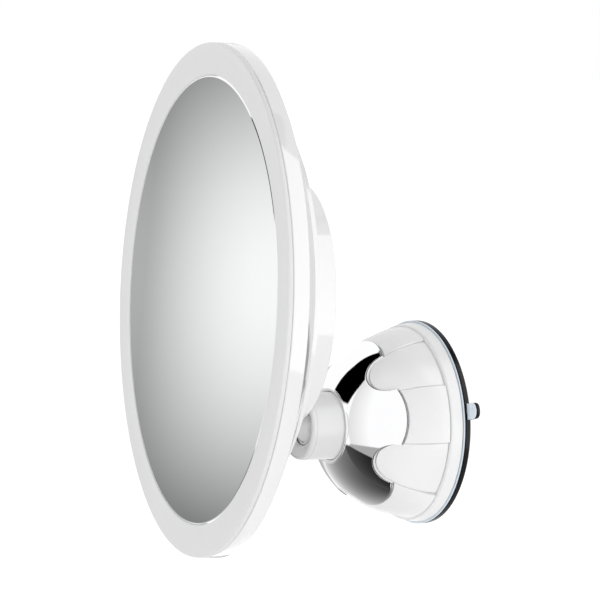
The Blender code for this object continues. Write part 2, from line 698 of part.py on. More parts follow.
def make_cover_screws(parent):
    places = around(COVER_SCREW_COUNT, COVER_SCREW_CIRCLE, math.pi / COVER_SCREW_COUNT)
    seat = COVER_BACK + CLEAR
    for i, place in enumerate(places):
        screw = head_screw(place, seat + SCREW_HEAD, seat, seat - COVER_SCREW_LENGTH)
        steel_node(f"cover_screw_{i + 1}", screw, parent)


def make_battery_tray(parent):
    half = BATTERY_CAVITY_HALF_WIDTH
    length = BATTERY_CAVITY_HALF_LENGTH
    wall = BATTERY_TRAY_WALL
    floor = BATTERY_FLOOR_DEPTH
    back = HUB_INSIDE - CLEAR
    outside = head_box((-half - wall, floor - BATTERY_TRAY_FLOOR, BATTERY_RISE - length - wall),
                       (half + wall, back, BATTERY_RISE + length + wall))
    tray = node("battery_tray", [outside], BLACK, parent, roughness=0.6)
    inside = head_box((-half, floor, BATTERY_RISE - length), (half, back + OVERRUN, BATTERY_RISE + length))
    combine(tray, guide("battery_space", [inside], parent), "DIFFERENCE")


def battery_places():
    """x of each cell, and 1 where its nub points up or -1 where it points down."""
    first = -BATTERY_PITCH * (BATTERY_COUNT - 1) / 2
    return [(first + BATTERY_PITCH * i, 1 - 2 * (i % 2)) for i in range(BATTERY_COUNT)]


def upright(shape, x, flip):
    """Turns a shape made along Y upright at a cell's place."""
    shape.transform(Matrix.Rotation(math.radians(90) * flip, 4, "X"))
    shape.transform(Matrix.Translation((x, head_y(BATTERY_DEPTH), BALL_DROP + BATTERY_RISE)))
    return shape


def make_batteries(parent):
    shift = (BATTERY_END_ROOM - BATTERY_NUB) / 2 - CONTACT_THICK - 2 * CLEAR
    low = -BATTERY_LENGTH / 2 + shift
    high = low + BATTERY_LENGTH - BATTERY_NUB
    for i, (x, flip) in enumerate(battery_places()):
        points = [
            (0, low), (BATTERY_RADIUS, low), (BATTERY_RADIUS, high),
            (BATTERY_NUB_RADIUS, high), (BATTERY_NUB_RADIUS, high + BATTERY_NUB), (0, high + BATTERY_NUB),
        ]
        cell = upright(turned(points, SMALL_SIDES), x, flip)
        node(f"battery_{i + 1}", [cell], COPPER, parent, roughness=0.3, metallic=0.5)


def contact_plate(first, last, side):
    """Flat plate at the cells' upper end (side 1) or lower end (side -1), from one cell to another."""
    edge = BATTERY_CAVITY_HALF_LENGTH - CLEAR
    ends = sorted((side * edge, side * (edge - CONTACT_THICK)))
    places = battery_places()
    return head_box(
        (places[first][0] - CONTACT_WIDTH / 2, BATTERY_DEPTH - CONTACT_WIDTH / 2, BATTERY_RISE + ends[0]),
        (places[last][0] + CONTACT_WIDTH / 2, BATTERY_DEPTH + CONTACT_WIDTH / 2, BATTERY_RISE + ends[1]),
    )


def contact_spring(cell):
    """Squeezed conical spring on a cell's flat end, drawn as a plain cone because the door hides it."""
    x, flip = battery_places()[cell]
    foot = -BATTERY_CAVITY_HALF_LENGTH + CLEAR + CONTACT_THICK / 2
    tip = -BATTERY_LENGTH / 2 + (BATTERY_END_ROOM - BATTERY_NUB) / 2 - CONTACT_THICK - 3 * CLEAR
    points = [(0, foot), (CONTACT_WIDTH / 2 - CLEAR, foot), (BATTERY_NUB_RADIUS, tip), (0, tip)]
    return upright(turned(points, SCREW_SIDES), x, flip)


def make_battery_contacts(parent):
    """Plates that join the cells in series. Each cell's flat end has a spring on its plate."""
    spans = {"left": (0, 0, 1), "upper": (1, 2, 1), "right": (3, 3, 1), "lower_left": (0, 1, -1),
             "lower_right": (2, 3, -1)}
    for name, (first, last, side) in spans.items():
        contact = steel_node(f"battery_contact_{name}", contact_plate(first, last, side), parent)
        for cell in range(first, last + 1):
            if battery_places()[cell][1] != side:
                combine(contact, guide(f"spring_{name}", [contact_spring(cell)], parent), "UNION")


def make_battery_door(parent):
    door = node("battery_door", [head_prism(door_outline(0), HUB_INSIDE, HUB_DEPTH)], WHITE, parent)
    hole = head_rod(SCREW_RADIUS + CLEAR, HUB_INSIDE - OVERRUN, HUB_DEPTH + OVERRUN, SCREW_SIDES,
                    (0, DOOR_SCREW_Z))
    combine(door, guide("door_hole", [hole], parent), "DIFFERENCE")


def make_door_screw(parent):
    seat = HUB_DEPTH + CLEAR
    tip = HUB_INSIDE - DOOR_BOSS_HEIGHT / 2
    steel_node("door_screw", head_screw((0, DOOR_SCREW_Z), seat + SCREW_HEAD, seat, tip), parent)


def make_power_button(parent):
    back = HUB_DEPTH + BUTTON_PROUD
    flange_front = BUTTON_FLANGE_BACK - BUTTON_FLANGE_THICK
    points = [
        (0, BUTTON_STEM_FRONT), (BUTTON_STEM_RADIUS, BUTTON_STEM_FRONT), (BUTTON_STEM_RADIUS, flange_front),
        (BUTTON_RADIUS + BUTTON_FLANGE, flange_front), (BUTTON_RADIUS + BUTTON_FLANGE, BUTTON_FLANGE_BACK),
        (BUTTON_RADIUS, BUTTON_FLANGE_BACK), (BUTTON_RADIUS, back - BUTTON_DOME),
        (BUTTON_RADIUS - BUTTON_DOME, back), (0, back),
    ]
    node("power_button", [head_turned(points, MID_SIDES, (BUTTON_X, 0))], WHITE, parent)


def make_switch(body_parent, button_parent):
    front = PLUNGER_BACK - PLUNGER_LENGTH
    plunger = head_rod(PLUNGER_RADIUS, front, PLUNGER_BACK, SMALL_SIDES, (BUTTON_X, 0))
    node("switch_plunger", [plunger], GREY, button_parent, roughness=0.5)
    half = SWITCH_SIZE / 2
    shell = head_box((BUTTON_X - half, SWITCH_BACK - SWITCH_HEIGHT, -half),
                     (BUTTON_X + half, SWITCH_BACK, half))
    switch = node("switch_body", [shell], BLACK, body_parent, roughness=0.5)
    floor = front - BUTTON_TRAVEL - CLEAR
    well = head_rod(PLUNGER_RADIUS + RUNNING, floor, SWITCH_BACK + OVERRUN, SMALL_SIDES, (BUTTON_X, 0))
    combine(switch, guide("plunger_well", [well], body_parent), "DIFFERENCE")
    reach = math.sqrt((HUB_RADIUS - HUB_WALL) ** 2 - SWITCH_BOARD_HALF ** 2) - CLEAR
    board = head_box((SWITCH_BOARD_INNER, SWITCH_BOARD_BACK - SWITCH_BOARD_THICK, -SWITCH_BOARD_HALF),
                     (reach, SWITCH_BOARD_BACK, SWITCH_BOARD_HALF))
    node("switch_board", [board], GREEN, body_parent, roughness=0.5)


def cable_route():
    """Route of the lights' cable from the switch board, round the tray's edge, to the lights' board."""
    start_depth = SWITCH_BOARD_BACK - SWITCH_BOARD_THICK - CLEAR - CABLE_RADIUS
    end_depth = LED_BOARD_DEPTH + LED_BOARD_THICK + CLEAR + CABLE_RADIUS
    middle_depth = (TRAY_BACK + COVER_DEPTH) / 2
    gap_depth = (FLANGE_DEPTH + TRAY_THICK + cone_inside(TRAY_FLANGE_RADIUS)) / 2
    first = (SWITCH_BOARD_INNER + CABLE_BEND, start_depth, 0)
    out = (HUB_RADIUS - CABLE_BEND, (COVER_DEPTH + middle_depth) / 2, CABLE_BEND)
    along = (HOUSING_FLANGE_INNER, middle_depth, 2 * CABLE_BEND)
    behind = (TRAY_FLANGE_RADIUS - CABLE_TURN, gap_depth, CABLE_BEND)
    past = (TRAY_FLANGE_RADIUS + CABLE_TURN, (gap_depth + end_depth) / 2, CABLE_BEND)
    end = ((past[0] + LED_BOARD_OUTER) / 2, end_depth, CABLE_BEND)
    return [first, out, along, behind, past, end]


def smooth_route(points, steps):
    """Points along a smooth curve through the route's own points."""
    padded = [points[0], *points, points[-1]]
    made = []
    for a, b, c, d in zip(padded, padded[1:], padded[2:], padded[3:]):
        a, b, c, d = Vector(a), Vector(b), Vector(c), Vector(d)
        for i in range(steps):
            t = i / steps
            made.append(0.5 * (2 * b + (c - a) * t + (2 * a - 5 * b + 4 * c - d) * t ** 2
                               + (3 * b - a - 3 * c + d) * t ** 3))
    made.append(Vector(points[-1]))
    return made


def make_led_cable(parent):
    curve = bpy.data.curves.new("led_cable", "CURVE")
    curve.dimensions = "3D"
    curve.bevel_depth = CABLE_RADIUS
    curve.bevel_resolution = 1
    curve.use_fill_caps = True
    points = smooth_route(cable_route(), CABLE_STEPS)
    spline = curve.splines.new("POLY")
    spline.points.add(len(points) - 1)
    for place, (x, depth, z) in zip(spline.points, points):
        place.co = (x, head_y(depth), BALL_DROP + z, 1)
    curve.materials.append(material("led_cable", WHITE, 0.5, 0.0))
    made = bpy.data.objects.new("led_cable", curve)
    bpy.context.scene.collection.objects.link(made)
    made.parent = parent


def make_ball_stud(parent):
    neck_start = -math.sqrt(BALL_RADIUS ** 2 - NECK_RADIUS ** 2)
    shoulder = head_y(BOSS_DEPTH + CLEAR)
    nut_front = COVER_DEPTH - 2 * CLEAR - STUD_WASHER_THICK - NUT_THICK
    tip = head_y(nut_front - SHANK_TIP)
    ball = arc(BALL_RADIUS, math.asin(neck_start / BALL_RADIUS), math.pi / 2, BALL_STEPS)
    points = [(0, tip), (SHANK_RADIUS, tip), (SHANK_RADIUS, shoulder), (NECK_RADIUS, shoulder), *ball[:-1],
              (0, BALL_RADIUS)]
    node("ball_stud", [turned(points, MID_SIDES)], WHITE, parent, roughness=0.3)
    washer_back = COVER_DEPTH - CLEAR
    washer_front = washer_back - STUD_WASHER_THICK
    hole = SHANK_RADIUS + CLEAR
    washer = tube(hole, STUD_WASHER_RADIUS, head_y(washer_front), head_y(washer_back), SMALL_SIDES)
    steel_node("stud_washer", washer, parent)
    nut_shape = rod(NUT_RADIUS, head_y(nut_front), head_y(washer_front - CLEAR), NUT_SIDES)
    nut = steel_node("stud_nut", nut_shape, parent)
    bore = rod(hole, head_y(nut_front - OVERRUN), head_y(washer_front + OVERRUN), SMALL_SIDES)
    combine(nut, guide("nut_bore", [bore], parent), "DIFFERENCE")


def make_ball_liner(parent):
    def side(radius):
        spread = LINER_BACK_ANGLE - LINER_FRONT_ANGLE
        turns = [LINER_FRONT_ANGLE + spread * i / LINER_STEPS for i in range(LINER_STEPS + 1)]
        return [(radius * math.sin(t), -radius * math.cos(t)) for t in turns]
    points = side(LINER_OUTER) + side(LINER_INNER)[::-1]
    node("ball_liner", [turned(points, MID_SIDES)], NYLON, parent, roughness=0.6)


def make_pressure_cup(parent):
    mouth = math.acos(CUP_MOUTH / SEAT_RADIUS)
    hole = math.asin(CUP_HOLE / SEAT_RADIUS)
    steps = ARC_STEPS
    seat = [(SEAT_RADIUS * math.sin(t), SEAT_RADIUS * math.cos(t))
            for t in (mouth + (hole - mouth) * i / steps for i in range(steps + 1))]
    foot = SEAT_RADIUS + CUP_FLOOR
    points = [(CUP_RADIUS, foot), (CUP_RADIUS, CUP_MOUTH), *seat, (CUP_HOLE, foot)]
    node("pressure_cup", [turned(points, MID_SIDES)], NYLON, parent, roughness=0.6)


def make_socket_spring():
    """Disc spring between the barrel's floor and the pressure cup."""
    low = -(BARREL_FLOOR + CLEAR)
    high = -(BALL_HEIGHT - SEAT_RADIUS - CUP_FLOOR - CLEAR)
    points = [
        (SPRING_OUTER, low), (SPRING_OUTER, low - SPRING_THICK), (SPRING_INNER, high),
        (SPRING_INNER, high + SPRING_THICK),
    ]
    steel_node("socket_spring", turned(points, MID_SIDES))


def mount_turned(points, sides=MOUNT_SIDES):
    """Turned body whose profile holds (radius, height from the wall)."""
    return turned([(radius, -height) for radius, height in points], sides)


def make_barrel():
    mouth_bore = BARREL_RADIUS - BARREL_LIP
    ledge = COLLAR_TOP - COLLAR_THICK - CLEAR
    hole = BARREL_SCREW_RADIUS + CLEAR
    edge_centre = (BARREL_RADIUS - BARREL_EDGE, BARREL_MOUTH - BARREL_EDGE)
    edge = arc(BARREL_EDGE, 0, math.pi / 2, EDGE_STEPS, edge_centre)
    points = [
        (BARREL_FLANGE_RADIUS, BARREL_FOOT), (BARREL_FLANGE_RADIUS, BARREL_FOOT + BARREL_FLANGE),
        (BARREL_RADIUS, BARREL_FOOT + BARREL_FLANGE), *edge, (mouth_bore, BARREL_MOUTH - BARREL_EDGE / 4),
        (mouth_bore, ledge), (BARREL_BORE, ledge), (BARREL_BORE, BARREL_FLOOR), (hole, BARREL_FLOOR),
        (hole, BARREL_FOOT),
    ]
    node("barrel", [mount_turned(points, BARREL_SIDES)], WHITE)


def make_barrel_collar():
    low = COLLAR_TOP - COLLAR_THICK
    mouth = math.sqrt(SEAT_RADIUS ** 2 - (low - BALL_HEIGHT) ** 2)
    lip_radius = SEAT_RADIUS * math.sin(SEAT_FRONT_ANGLE)
    lip_height = BALL_HEIGHT + SEAT_RADIUS * math.cos(SEAT_FRONT_ANGLE)
    points = [
        (COLLAR_OUTER, low), (COLLAR_OUTER, COLLAR_TOP), (COLLAR_OUTER - COLLAR_FACE, COLLAR_TOP),
        (lip_radius, lip_height), (mouth, low),
    ]
    node("barrel_collar", [mount_turned(points, BARREL_SIDES)], WHITE)


def make_barrel_screw():
    seat = BARREL_FLOOR + CLEAR
    points = [
        (0, seat + BARREL_SCREW_HEAD), (BARREL_SCREW_HEAD_RADIUS, seat + BARREL_SCREW_HEAD),
        (BARREL_SCREW_HEAD_RADIUS, seat), (BARREL_SCREW_RADIUS, seat),
        (BARREL_SCREW_RADIUS, seat - BARREL_SCREW_LENGTH), (0, seat - BARREL_SCREW_LENGTH),
    ]
    steel_node("barrel_screw", mount_turned(points, SMALL_SIDES))


def tab_shape(inner, low, high):
    """Peel tab with clipped corners, from the inner radius out past the pad's rim."""
    outer = PAD_RADIUS + TAB_LENGTH
    half = TAB_WIDTH / 2
    outline = [(inner, -half), (outer - TAB_CLIP, -half), (outer, -half + TAB_CLIP), (outer, half - TAB_CLIP),
               (outer - TAB_CLIP, half), (inner, half)]
    shape = prism(outline, -high, -low)
    shape.transform(Matrix.Rotation(-TAB_ANGLE, 4, "Y"))
    return shape


def make_suction_pad():
    points = [
        (0, 0), (PAD_RADIUS - PAD_FOOT_INSET, 0), (PAD_RADIUS, PAD_FOOT_HEIGHT),
        (PAD_RADIUS, PAD_THICK - PAD_EDGE), (PAD_RADIUS - PAD_EDGE, PAD_THICK),
        (MEMBRANE_RADIUS + MEMBRANE_SLOPE, PAD_THICK),
        (MEMBRANE_RADIUS, MEMBRANE_THICK), (0, MEMBRANE_THICK),
    ]
    pad = node("suction_pad", [mount_turned(points)], BLACK, roughness=0.5)
    tab = tab_shape(PAD_RADIUS - TAB_ROOT, TAB_FOOT, TAB_FOOT + TAB_THICK)
    combine(pad, guide("pad_tab", [tab]), "UNION")


def make_tab_film():
    """Blue film on the peel tab, which starts just outside the pad's rim."""
    low = TAB_FOOT + TAB_THICK + CLEAR
    node("tab_film", [tab_shape(PAD_RADIUS + TAB_FILM_GAP, low, low + TAB_FILM_THICK)], BLUE, roughness=0.3)


def make_pad_backing():
    low = PAD_THICK + CLEAR
    high = low + BACKING_THICK
    points = [(BACKING_INNER, low), (PAD_RADIUS, low), (PAD_RADIUS, high), (BACKING_INNER, high)]
    node("pad_backing", [mount_turned(points)], BLUE, roughness=0.3)


def make_base_ring():
    foot_inner = BASE_RADIUS - BASE_FOOT
    top_radius = BASE_RADIUS - BASE_TAPER
    plate = BASE_TOP - BASE_PLATE
    points = [
        (0, SLEEVE_TOP), (SLEEVE_RADIUS, SLEEVE_TOP), (SLEEVE_RADIUS, BASE_TOP),
        (top_radius - BASE_EDGE, BASE_TOP), (top_radius, BASE_TOP - BASE_EDGE),
        (BASE_RADIUS, BASE_FOOT_HEIGHT),
        (foot_inner, BASE_FOOT_HEIGHT), (foot_inner, plate), (SLEEVE_BORE, plate),
        (SLEEVE_BORE, SLEEVE_TOP - SLEEVE_END), (0, SLEEVE_TOP - SLEEVE_END),
    ]
    base = node("base_ring", [mount_turned(points)], WHITE)
    slot_low = PIN_HEIGHT - PIN_RADIUS - SLOT_END_ROOM
    slot_high = PIN_HEIGHT + LIFT + PIN_RADIUS + SLOT_END_ROOM
    reach = SLEEVE_RADIUS + OVERRUN
    slot = box((-reach, -slot_high, -SLOT_HALF_WIDTH), (reach, -slot_low, SLOT_HALF_WIDTH))
    screw_hole = rod(BARREL_SCREW_RADIUS + CLEAR, -(SLEEVE_TOP + OVERRUN),
                     -(SLEEVE_TOP - SLEEVE_END - OVERRUN), SMALL_SIDES)
    combine(base, guide("pin_slot", [slot]), "DIFFERENCE")
    combine(base, guide("sleeve_hole", [screw_hole]), "DIFFERENCE")


def make_thrust_washer():
    low = BASE_TOP + CLEAR
    ring = tube(SLEEVE_RADIUS + RUNNING, WASHER_RADIUS, -(low + WASHER_THICK), -low, MID_SIDES)
    node("thrust_washer", [ring], NYLON, roughness=0.6)


def make_pull_stud(parent):
    flange_top = STUD_FLANGE_FOOT + STUD_FLANGE
    points = [
        (0, STUD_FLANGE_FOOT), (STUD_FLANGE_RADIUS, STUD_FLANGE_FOOT), (STUD_FLANGE_RADIUS, flange_top),
        (STUD_RADIUS, flange_top), (STUD_RADIUS, flange_top + STUD_HEIGHT), (0, flange_top + STUD_HEIGHT),
    ]
    stud = node("pull_stud", [mount_turned(points, MID_SIDES)], GREY, parent, roughness=0.5)
    hole = rod(PIN_RADIUS + CLEAR, -STUD_RADIUS - OVERRUN, STUD_RADIUS + OVERRUN, SMALL_SIDES)
    hole.transform(Matrix.Rotation(math.radians(90), 4, "Z"))
    hole.transform(Matrix.Translation((0, -PIN_HEIGHT, 0)))
    combine(stud, guide("pin_hole", [hole], parent), "DIFFERENCE")
    pin = rod(PIN_RADIUS, -PIN_HALF_LENGTH, PIN_HALF_LENGTH, SMALL_SIDES)
    pin.transform(Matrix.Rotation(math.radians(90), 4, "Z"))
    pin.transform(Matrix.Translation((0, -PIN_HEIGHT, 0)))
    steel_node("cross_pin", pin, parent)


def cam_height(turn):
    """Height of the cam under the pin. Each half turn has a dwell, a ramp up and a way down."""
    turn = (turn + CAM_DWELL) % math.pi - CAM_DWELL
    if turn <= 0:
        share = 0
    elif turn <= LOCK_TURN:
        share = turn / LOCK_TURN
    elif turn <= LOCK_TURN + CAM_DWELL:
        share = 1
    else:
        share = (math.pi - CAM_DWELL - turn) / (math.pi - 2 * CAM_DWELL - LOCK_TURN)
    return CAM_LOW + LIFT * share


def make_cam_ring(parent):
    inner = SLEEVE_RADIUS + RUNNING
    low = CAM_PLATE_FOOT
    plate_top = low + CAM_PLATE
    bm = bmesh.new()
    rings = []
    for i in range(CAM_SIDES):
        turn = math.tau * i / CAM_SIDES
        top = cam_height(turn)
        corners = [(inner, low), (CAM_PLATE_RADIUS, low), (CAM_PLATE_RADIUS, plate_top),
                   (CAM_HUB_RADIUS, plate_top), (CAM_HUB_RADIUS, top), (inner, top)]
        rings.append([bm.verts.new((r * math.cos(turn), -h, r * math.sin(turn))) for r, h in corners])
    for ring, after in zip(rings, rings[1:] + rings[:1]):
        for i in range(len(ring)):
            j = (i + 1) % len(ring)
            bm.faces.new((ring[i], ring[j], after[j], after[i]))
    bmesh.ops.recalc_face_normals(bm, faces=bm.faces)
    cam = node("cam_ring", [bm], GREY, parent, roughness=0.5)
    places = around(CAM_SCREW_COUNT, CAM_SCREW_CIRCLE)
    start = -(low - OVERRUN)
    holes = [rod(SCREW_RADIUS + CLEAR, -(plate_top + OVERRUN), start, SCREW_SIDES, place) for place in places]
    bores = [rod(SCREW_HEAD_RADIUS + CLEAR, -(low + CAM_COUNTERBORE), start, SCREW_SIDES, place)
             for place in places]
    combine(cam, guide("cam_holes", holes, parent), "DIFFERENCE")
    combine(cam, guide("cam_bores", bores, parent), "DIFFERENCE")


def make_cam_screws(parent):
    head_low = CAM_PLATE_FOOT
    head_high = CAM_PLATE_FOOT + CAM_COUNTERBORE - CLEAR
    points = [
        (0, -head_low), (SCREW_HEAD_RADIUS, -head_low), (SCREW_HEAD_RADIUS, -head_high),
        (SCREW_RADIUS, -head_high), (SCREW_RADIUS, -(head_high + CAM_SCREW_LENGTH)),
        (0, -(head_high + CAM_SCREW_LENGTH)),
    ]
    for i, place in enumerate(around(CAM_SCREW_COUNT, CAM_SCREW_CIRCLE)):
        steel_node(f"cam_screw_{i + 1}", turned(points, SCREW_SIDES, place), parent)


def dome_curve(inset, start_radius, end_radius, steps):
    """Points (radius, height) down the dome, on an ellipsoid drawn in by the inset."""
    wide = DOME_RADIUS - inset
    tall = DOME_HEIGHT - inset
    first = math.asin(start_radius / wide)
    last = math.asin(end_radius / wide)
    turns = [first + (last - first) * i / steps for i in range(steps + 1)]
    return [(wide * math.sin(t), DOME_CENTRE + tall * math.cos(t)) for t in turns]


def make_lock_dome(parent):
    foot = DOME_CENTRE + CLEAR
    outside = dome_curve(0, DOME_RIM_RADIUS, DOME_RADIUS, DOME_STEPS)[:-1]
    inside = dome_curve(DOME_WALL, DOME_BORE, DOME_RADIUS - DOME_WALL, DOME_STEPS)[:-1]
    rim_top = DOME_RIM_HEIGHT + DOME_RIM_ROUND
    points = [
        (DOME_BORE, DOME_RIM_HEIGHT), (DOME_BORE + DOME_RIM_ROUND, rim_top),
        (DOME_RIM_RADIUS - DOME_RIM_ROUND, rim_top), *outside, (DOME_RADIUS, foot),
        (DOME_RADIUS - DOME_WALL, foot), *inside[::-1],
    ]
    dome = node("lock_dome", [mount_turned(points)], CHROME, parent, roughness=0.05, metallic=1.0)
    places = around(CAM_SCREW_COUNT, CAM_SCREW_CIRCLE)
    low = CAM_PLATE_FOOT + CAM_PLATE + CLEAR
    posts = [rod(DOME_POST_RADIUS, -DOME_POST_TOP, -low, SMALL_SIDES, place) for place in places]
    combine(dome, guide("dome_posts", posts, parent), "UNION")
    tip = CAM_PLATE_FOOT + CAM_COUNTERBORE + CAM_SCREW_LENGTH
    pilots = [rod(SCREW_RADIUS + CLEAR, -tip, -(low - OVERRUN), SCREW_SIDES, place) for place in places]
    combine(dome, guide("dome_pilots", pilots, parent), "DIFFERENCE")


def petal_columns():
    """Columns of a long petal and a short one: shares of their half widths, step, front edge and flare."""
    half = []
    for i in range(PETAL_LONG_STEPS + 1):
        share = math.sin(math.pi / 2 * i / PETAL_LONG_STEPS)
        rise = (1 - share ** PETAL_ROUND_SHARE) ** (1 / PETAL_ROUND_SHARE)
        edge = PETAL_CORNER + (PETAL_TIP - PETAL_CORNER) * rise
        half.append((share, 0, -PETAL_STEP * share, edge, -PETAL_LONG_SINK))
    for i in range(PETAL_SHORT_STEPS + 1):
        share = i / PETAL_SHORT_STEPS
        edge = PETAL_CORNER + (PETAL_DIP - PETAL_CORNER) * (1 - (1 - share) ** 2)
        half.append((1, share, PETAL_STEP * (1 - share), edge, PETAL_SHORT_FLARE))
    mirrored = [(-wide, -narrow, -step, edge, flare) for wide, narrow, step, edge, flare in half[:0:-1]]
    return mirrored + half[:-1]


def petal_turn(wide, narrow, step, lean):
    """Turn of a column at one lean: the creases between petals splay towards the foot."""
    share = max(0, lean - PETAL_CORNER) / (math.pi / 2 - PETAL_CORNER)
    long_half = PETAL_LONG_HALF + (PETAL_FOOT_HALF - PETAL_LONG_HALF) * share
    return long_half * wide + (math.pi / PETAL_PAIRS - long_half) * narrow + step


def petal_loop(start, wide, narrow, step, edge, flare):
    """Section of the grip along one column, from the front edge to the foot and back under."""
    foot = DOME_CENTRE + CLEAR
    shares = [k / PETAL_ROWS for k in range(PETAL_ROWS + 1)]
    outer = [(share, PETAL_GAP + PETAL_THICK + flare * share ** 2) for share in shares]
    inner = [(share, PETAL_GAP) for share in shares[::-1]]
    loop = []
    for share, proud in outer + inner:
        lean = edge + (math.pi / 2 - edge) * share
        turn = start + petal_turn(wide, narrow, step, lean)
        radius = (DOME_RADIUS + proud) * math.sin(lean)
        height = max(foot, DOME_CENTRE + (DOME_HEIGHT + proud) * math.cos(lean))
        loop.append((radius * math.cos(turn), -height, radius * math.sin(turn)))
    return loop


def make_grip_petals(parent):
    """Grip of long petals with proud short ones between them, a skin over the dome."""
    bm = bmesh.new()
    loops = []
    for i in range(PETAL_PAIRS):
        start = PETAL_START + math.tau * i / PETAL_PAIRS
        for column in petal_columns():
            loops.append([bm.verts.new(corner) for corner in petal_loop(start, *column)])
    for loop, after in zip(loops, loops[1:] + loops[:1]):
        for i in range(len(loop)):
            j = (i + 1) % len(loop)
            bm.faces.new((loop[i], loop[j], after[j], after[i]))
    bmesh.ops.recalc_face_normals(bm, faces=bm.faces)
    node("grip_petals", [bm], WHITE, parent)


def empty(name, place, turn, parent=None):
    made = bpy.data.objects.new(name, None)
    bpy.context.scene.collection.objects.link(made)
    made.location = place
    made.rotation_euler = turn
    made.parent = parent
    return made


def make_head(head, button):
    make_mirror_glass(head)
    make_mirror_tape(head)
    make_mirror_tray(head)
    make_tray_screws(head)
    make_diffuser_ring(head)
    make_led_board(head)
    make_led_strip(head)
    make_led_cable(head)
    make_front_housing(head)
    make_back_cover(head)
    make_cover_screws(head)
    make_battery_tray(head)
    make_batteries(head)
    make_battery_contacts(head)
    make_battery_door(head)
    make_door_screw(head)
    make_power_button(button)
    make_switch(head, button)
    make_ball_stud(head)


def make_mount(knob, stud):
    make_suction_pad()
    make_tab_film()
    make_pad_backing()
    make_base_ring()
    make_thrust_washer()
    make_barrel()
    make_barrel_collar()
    make_barrel_screw()
    make_socket_spring()
    make_pull_stud(stud)
    make_cam_ring(knob)
    make_cam_screws(knob)
    make_lock_dome(knob)
    make_grip_petals(knob)


def main():
    clear_scene()
    swivel = empty("swivel_pivot", (0, -BALL_HEIGHT, 0), (0, 0, 0))
    yaw = empty("yaw_pivot", (0, 0, 0), (0, 0, REST_YAW), swivel)
    pitch = empty("pitch_pivot", (0, 0, 0), (REST_PITCH, 0, 0), yaw)
    button = empty("button_slide", (0, 0, 0), (0, 0, 0), pitch)
    knob = empty("knob_turn", (0, 0, 0), (0, 0, 0))
    stud = empty("stud_slide", (0, 0, 0), (0, 0, 0))
    make_pressure_cup(swivel)
    make_ball_liner(yaw)
    make_head(pitch, button)
    make_mount(knob, stud)


main()
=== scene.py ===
"""Looks of the lighted makeup mirror: fine surfaces, materials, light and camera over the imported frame.

Metres, +Z up. The wall is on the +Y side, and the mirror looks towards -Y.
Head pieces are made about the head's own centre, with y as the depth behind the mirror's front.
Mount pieces are turned about the Y axis, with heights counted from the wall.
"""
import json
import math

import bmesh
import bpy
from mathutils import Matrix, Vector

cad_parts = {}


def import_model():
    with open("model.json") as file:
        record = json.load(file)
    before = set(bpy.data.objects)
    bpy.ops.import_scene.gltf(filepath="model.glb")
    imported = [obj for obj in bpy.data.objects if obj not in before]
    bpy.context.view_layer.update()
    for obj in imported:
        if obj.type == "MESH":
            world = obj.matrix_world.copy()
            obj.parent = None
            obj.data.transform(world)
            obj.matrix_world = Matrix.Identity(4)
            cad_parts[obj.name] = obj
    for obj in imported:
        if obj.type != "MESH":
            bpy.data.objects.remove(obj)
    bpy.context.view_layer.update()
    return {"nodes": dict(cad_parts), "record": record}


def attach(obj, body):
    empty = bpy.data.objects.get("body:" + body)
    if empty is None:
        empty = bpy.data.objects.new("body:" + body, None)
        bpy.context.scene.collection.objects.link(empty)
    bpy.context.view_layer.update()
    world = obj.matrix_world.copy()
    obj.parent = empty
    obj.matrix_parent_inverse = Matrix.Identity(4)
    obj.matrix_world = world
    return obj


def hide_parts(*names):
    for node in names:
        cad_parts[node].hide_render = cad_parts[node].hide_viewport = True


# Sides of turned pieces, steps along curves and small distances
HEAD_SIDES = 192
MOUNT_SIDES = 144
MID_SIDES = 72
SMALL_SIDES = 32
FILLET_STEPS = 4
BEVEL_STEPS = 2
LENS_STEPS = 32
CONE_STEPS = 12
MERGE = 0.000001
OVERRUN = 0.0020
CLEAR = 0.0003

# Angles between faces from which an edge is rounded or drawn sharp
BEVEL_ANGLE = math.radians(50)
SHARP_ANGLE = math.radians(32)
GLASS_SHARP_ANGLE = math.radians(10)
RELIEF_SHARP_ANGLE = math.radians(50)

# Bodies that don't show in the gloss of the others
UNSEEN_IN_GLOSS = ("head", "button", "knob")

# Head
BALL_HEIGHT = 0.049367
BALL_DEPTH = 0.0479
BALL_DROP = 0.0481
REST_YAW = math.radians(-8.8)
REST_PITCH = math.radians(-2.7)
HEAD_RADIUS = 0.1000
GLASS_RADIUS = 0.0870
GLASS_THICK = 0.0030
GLASS_RECESS = 0.0002
GLASS_BEVEL_WIDTH = 0.0004
GLASS_BEVEL_DEPTH = 0.0002
RING_GROOVE = 0.0005
RING_THICK = 0.0016
RING_SIDE = 0.00175
RING_FILLET = 0.0005
RING_INNER_FILLET = 0.0003
RING_LIP = 0.0014
RING_LIP_DEPTH = 0.0071
RING_SPIGOT_RADIUS = 0.0981
RING_SPIGOT_WALL = 0.0013
RING_SPIGOT_DEPTH = 0.0046
HOUSING_WALL = 0.0016
HOUSING_SIDE_DEPTH = 0.0084
HOUSING_BACK_RADIUS = 0.0750
HOUSING_BULGE = 0.0003
HOUSING_FLANGE_INNER = 0.0640
HOUSING_FLANGE_THICK = 0.0018
HOUSING_EDGE = 0.0003
HOUSING_TURN = 0.0008
CONE_WALL = 0.00176
COVER_DEPTH = 0.0200
COVER_THICK = 0.0015
COVER_EDGE = 0.00015
COVER_SKIRT = 0.00026
COVER_SKIRT_WALL = 0.0010
HUB_RADIUS = 0.0472
HUB_WALL = 0.0018
HUB_DEPTH = 0.0387
HUB_EDGE = 0.0005
HUB_ROOT = 0.0006
SCREW_CIRCLE = 0.0695
SCREW_COUNT = 4
SCREW_HEAD_RADIUS = 0.0023
SCREW_HEAD = 0.0010
SCREW_SHANK_RADIUS = 0.0011
SCREW_SHANK = 0.0060
SCREW_RECESS_HALF = 0.0013
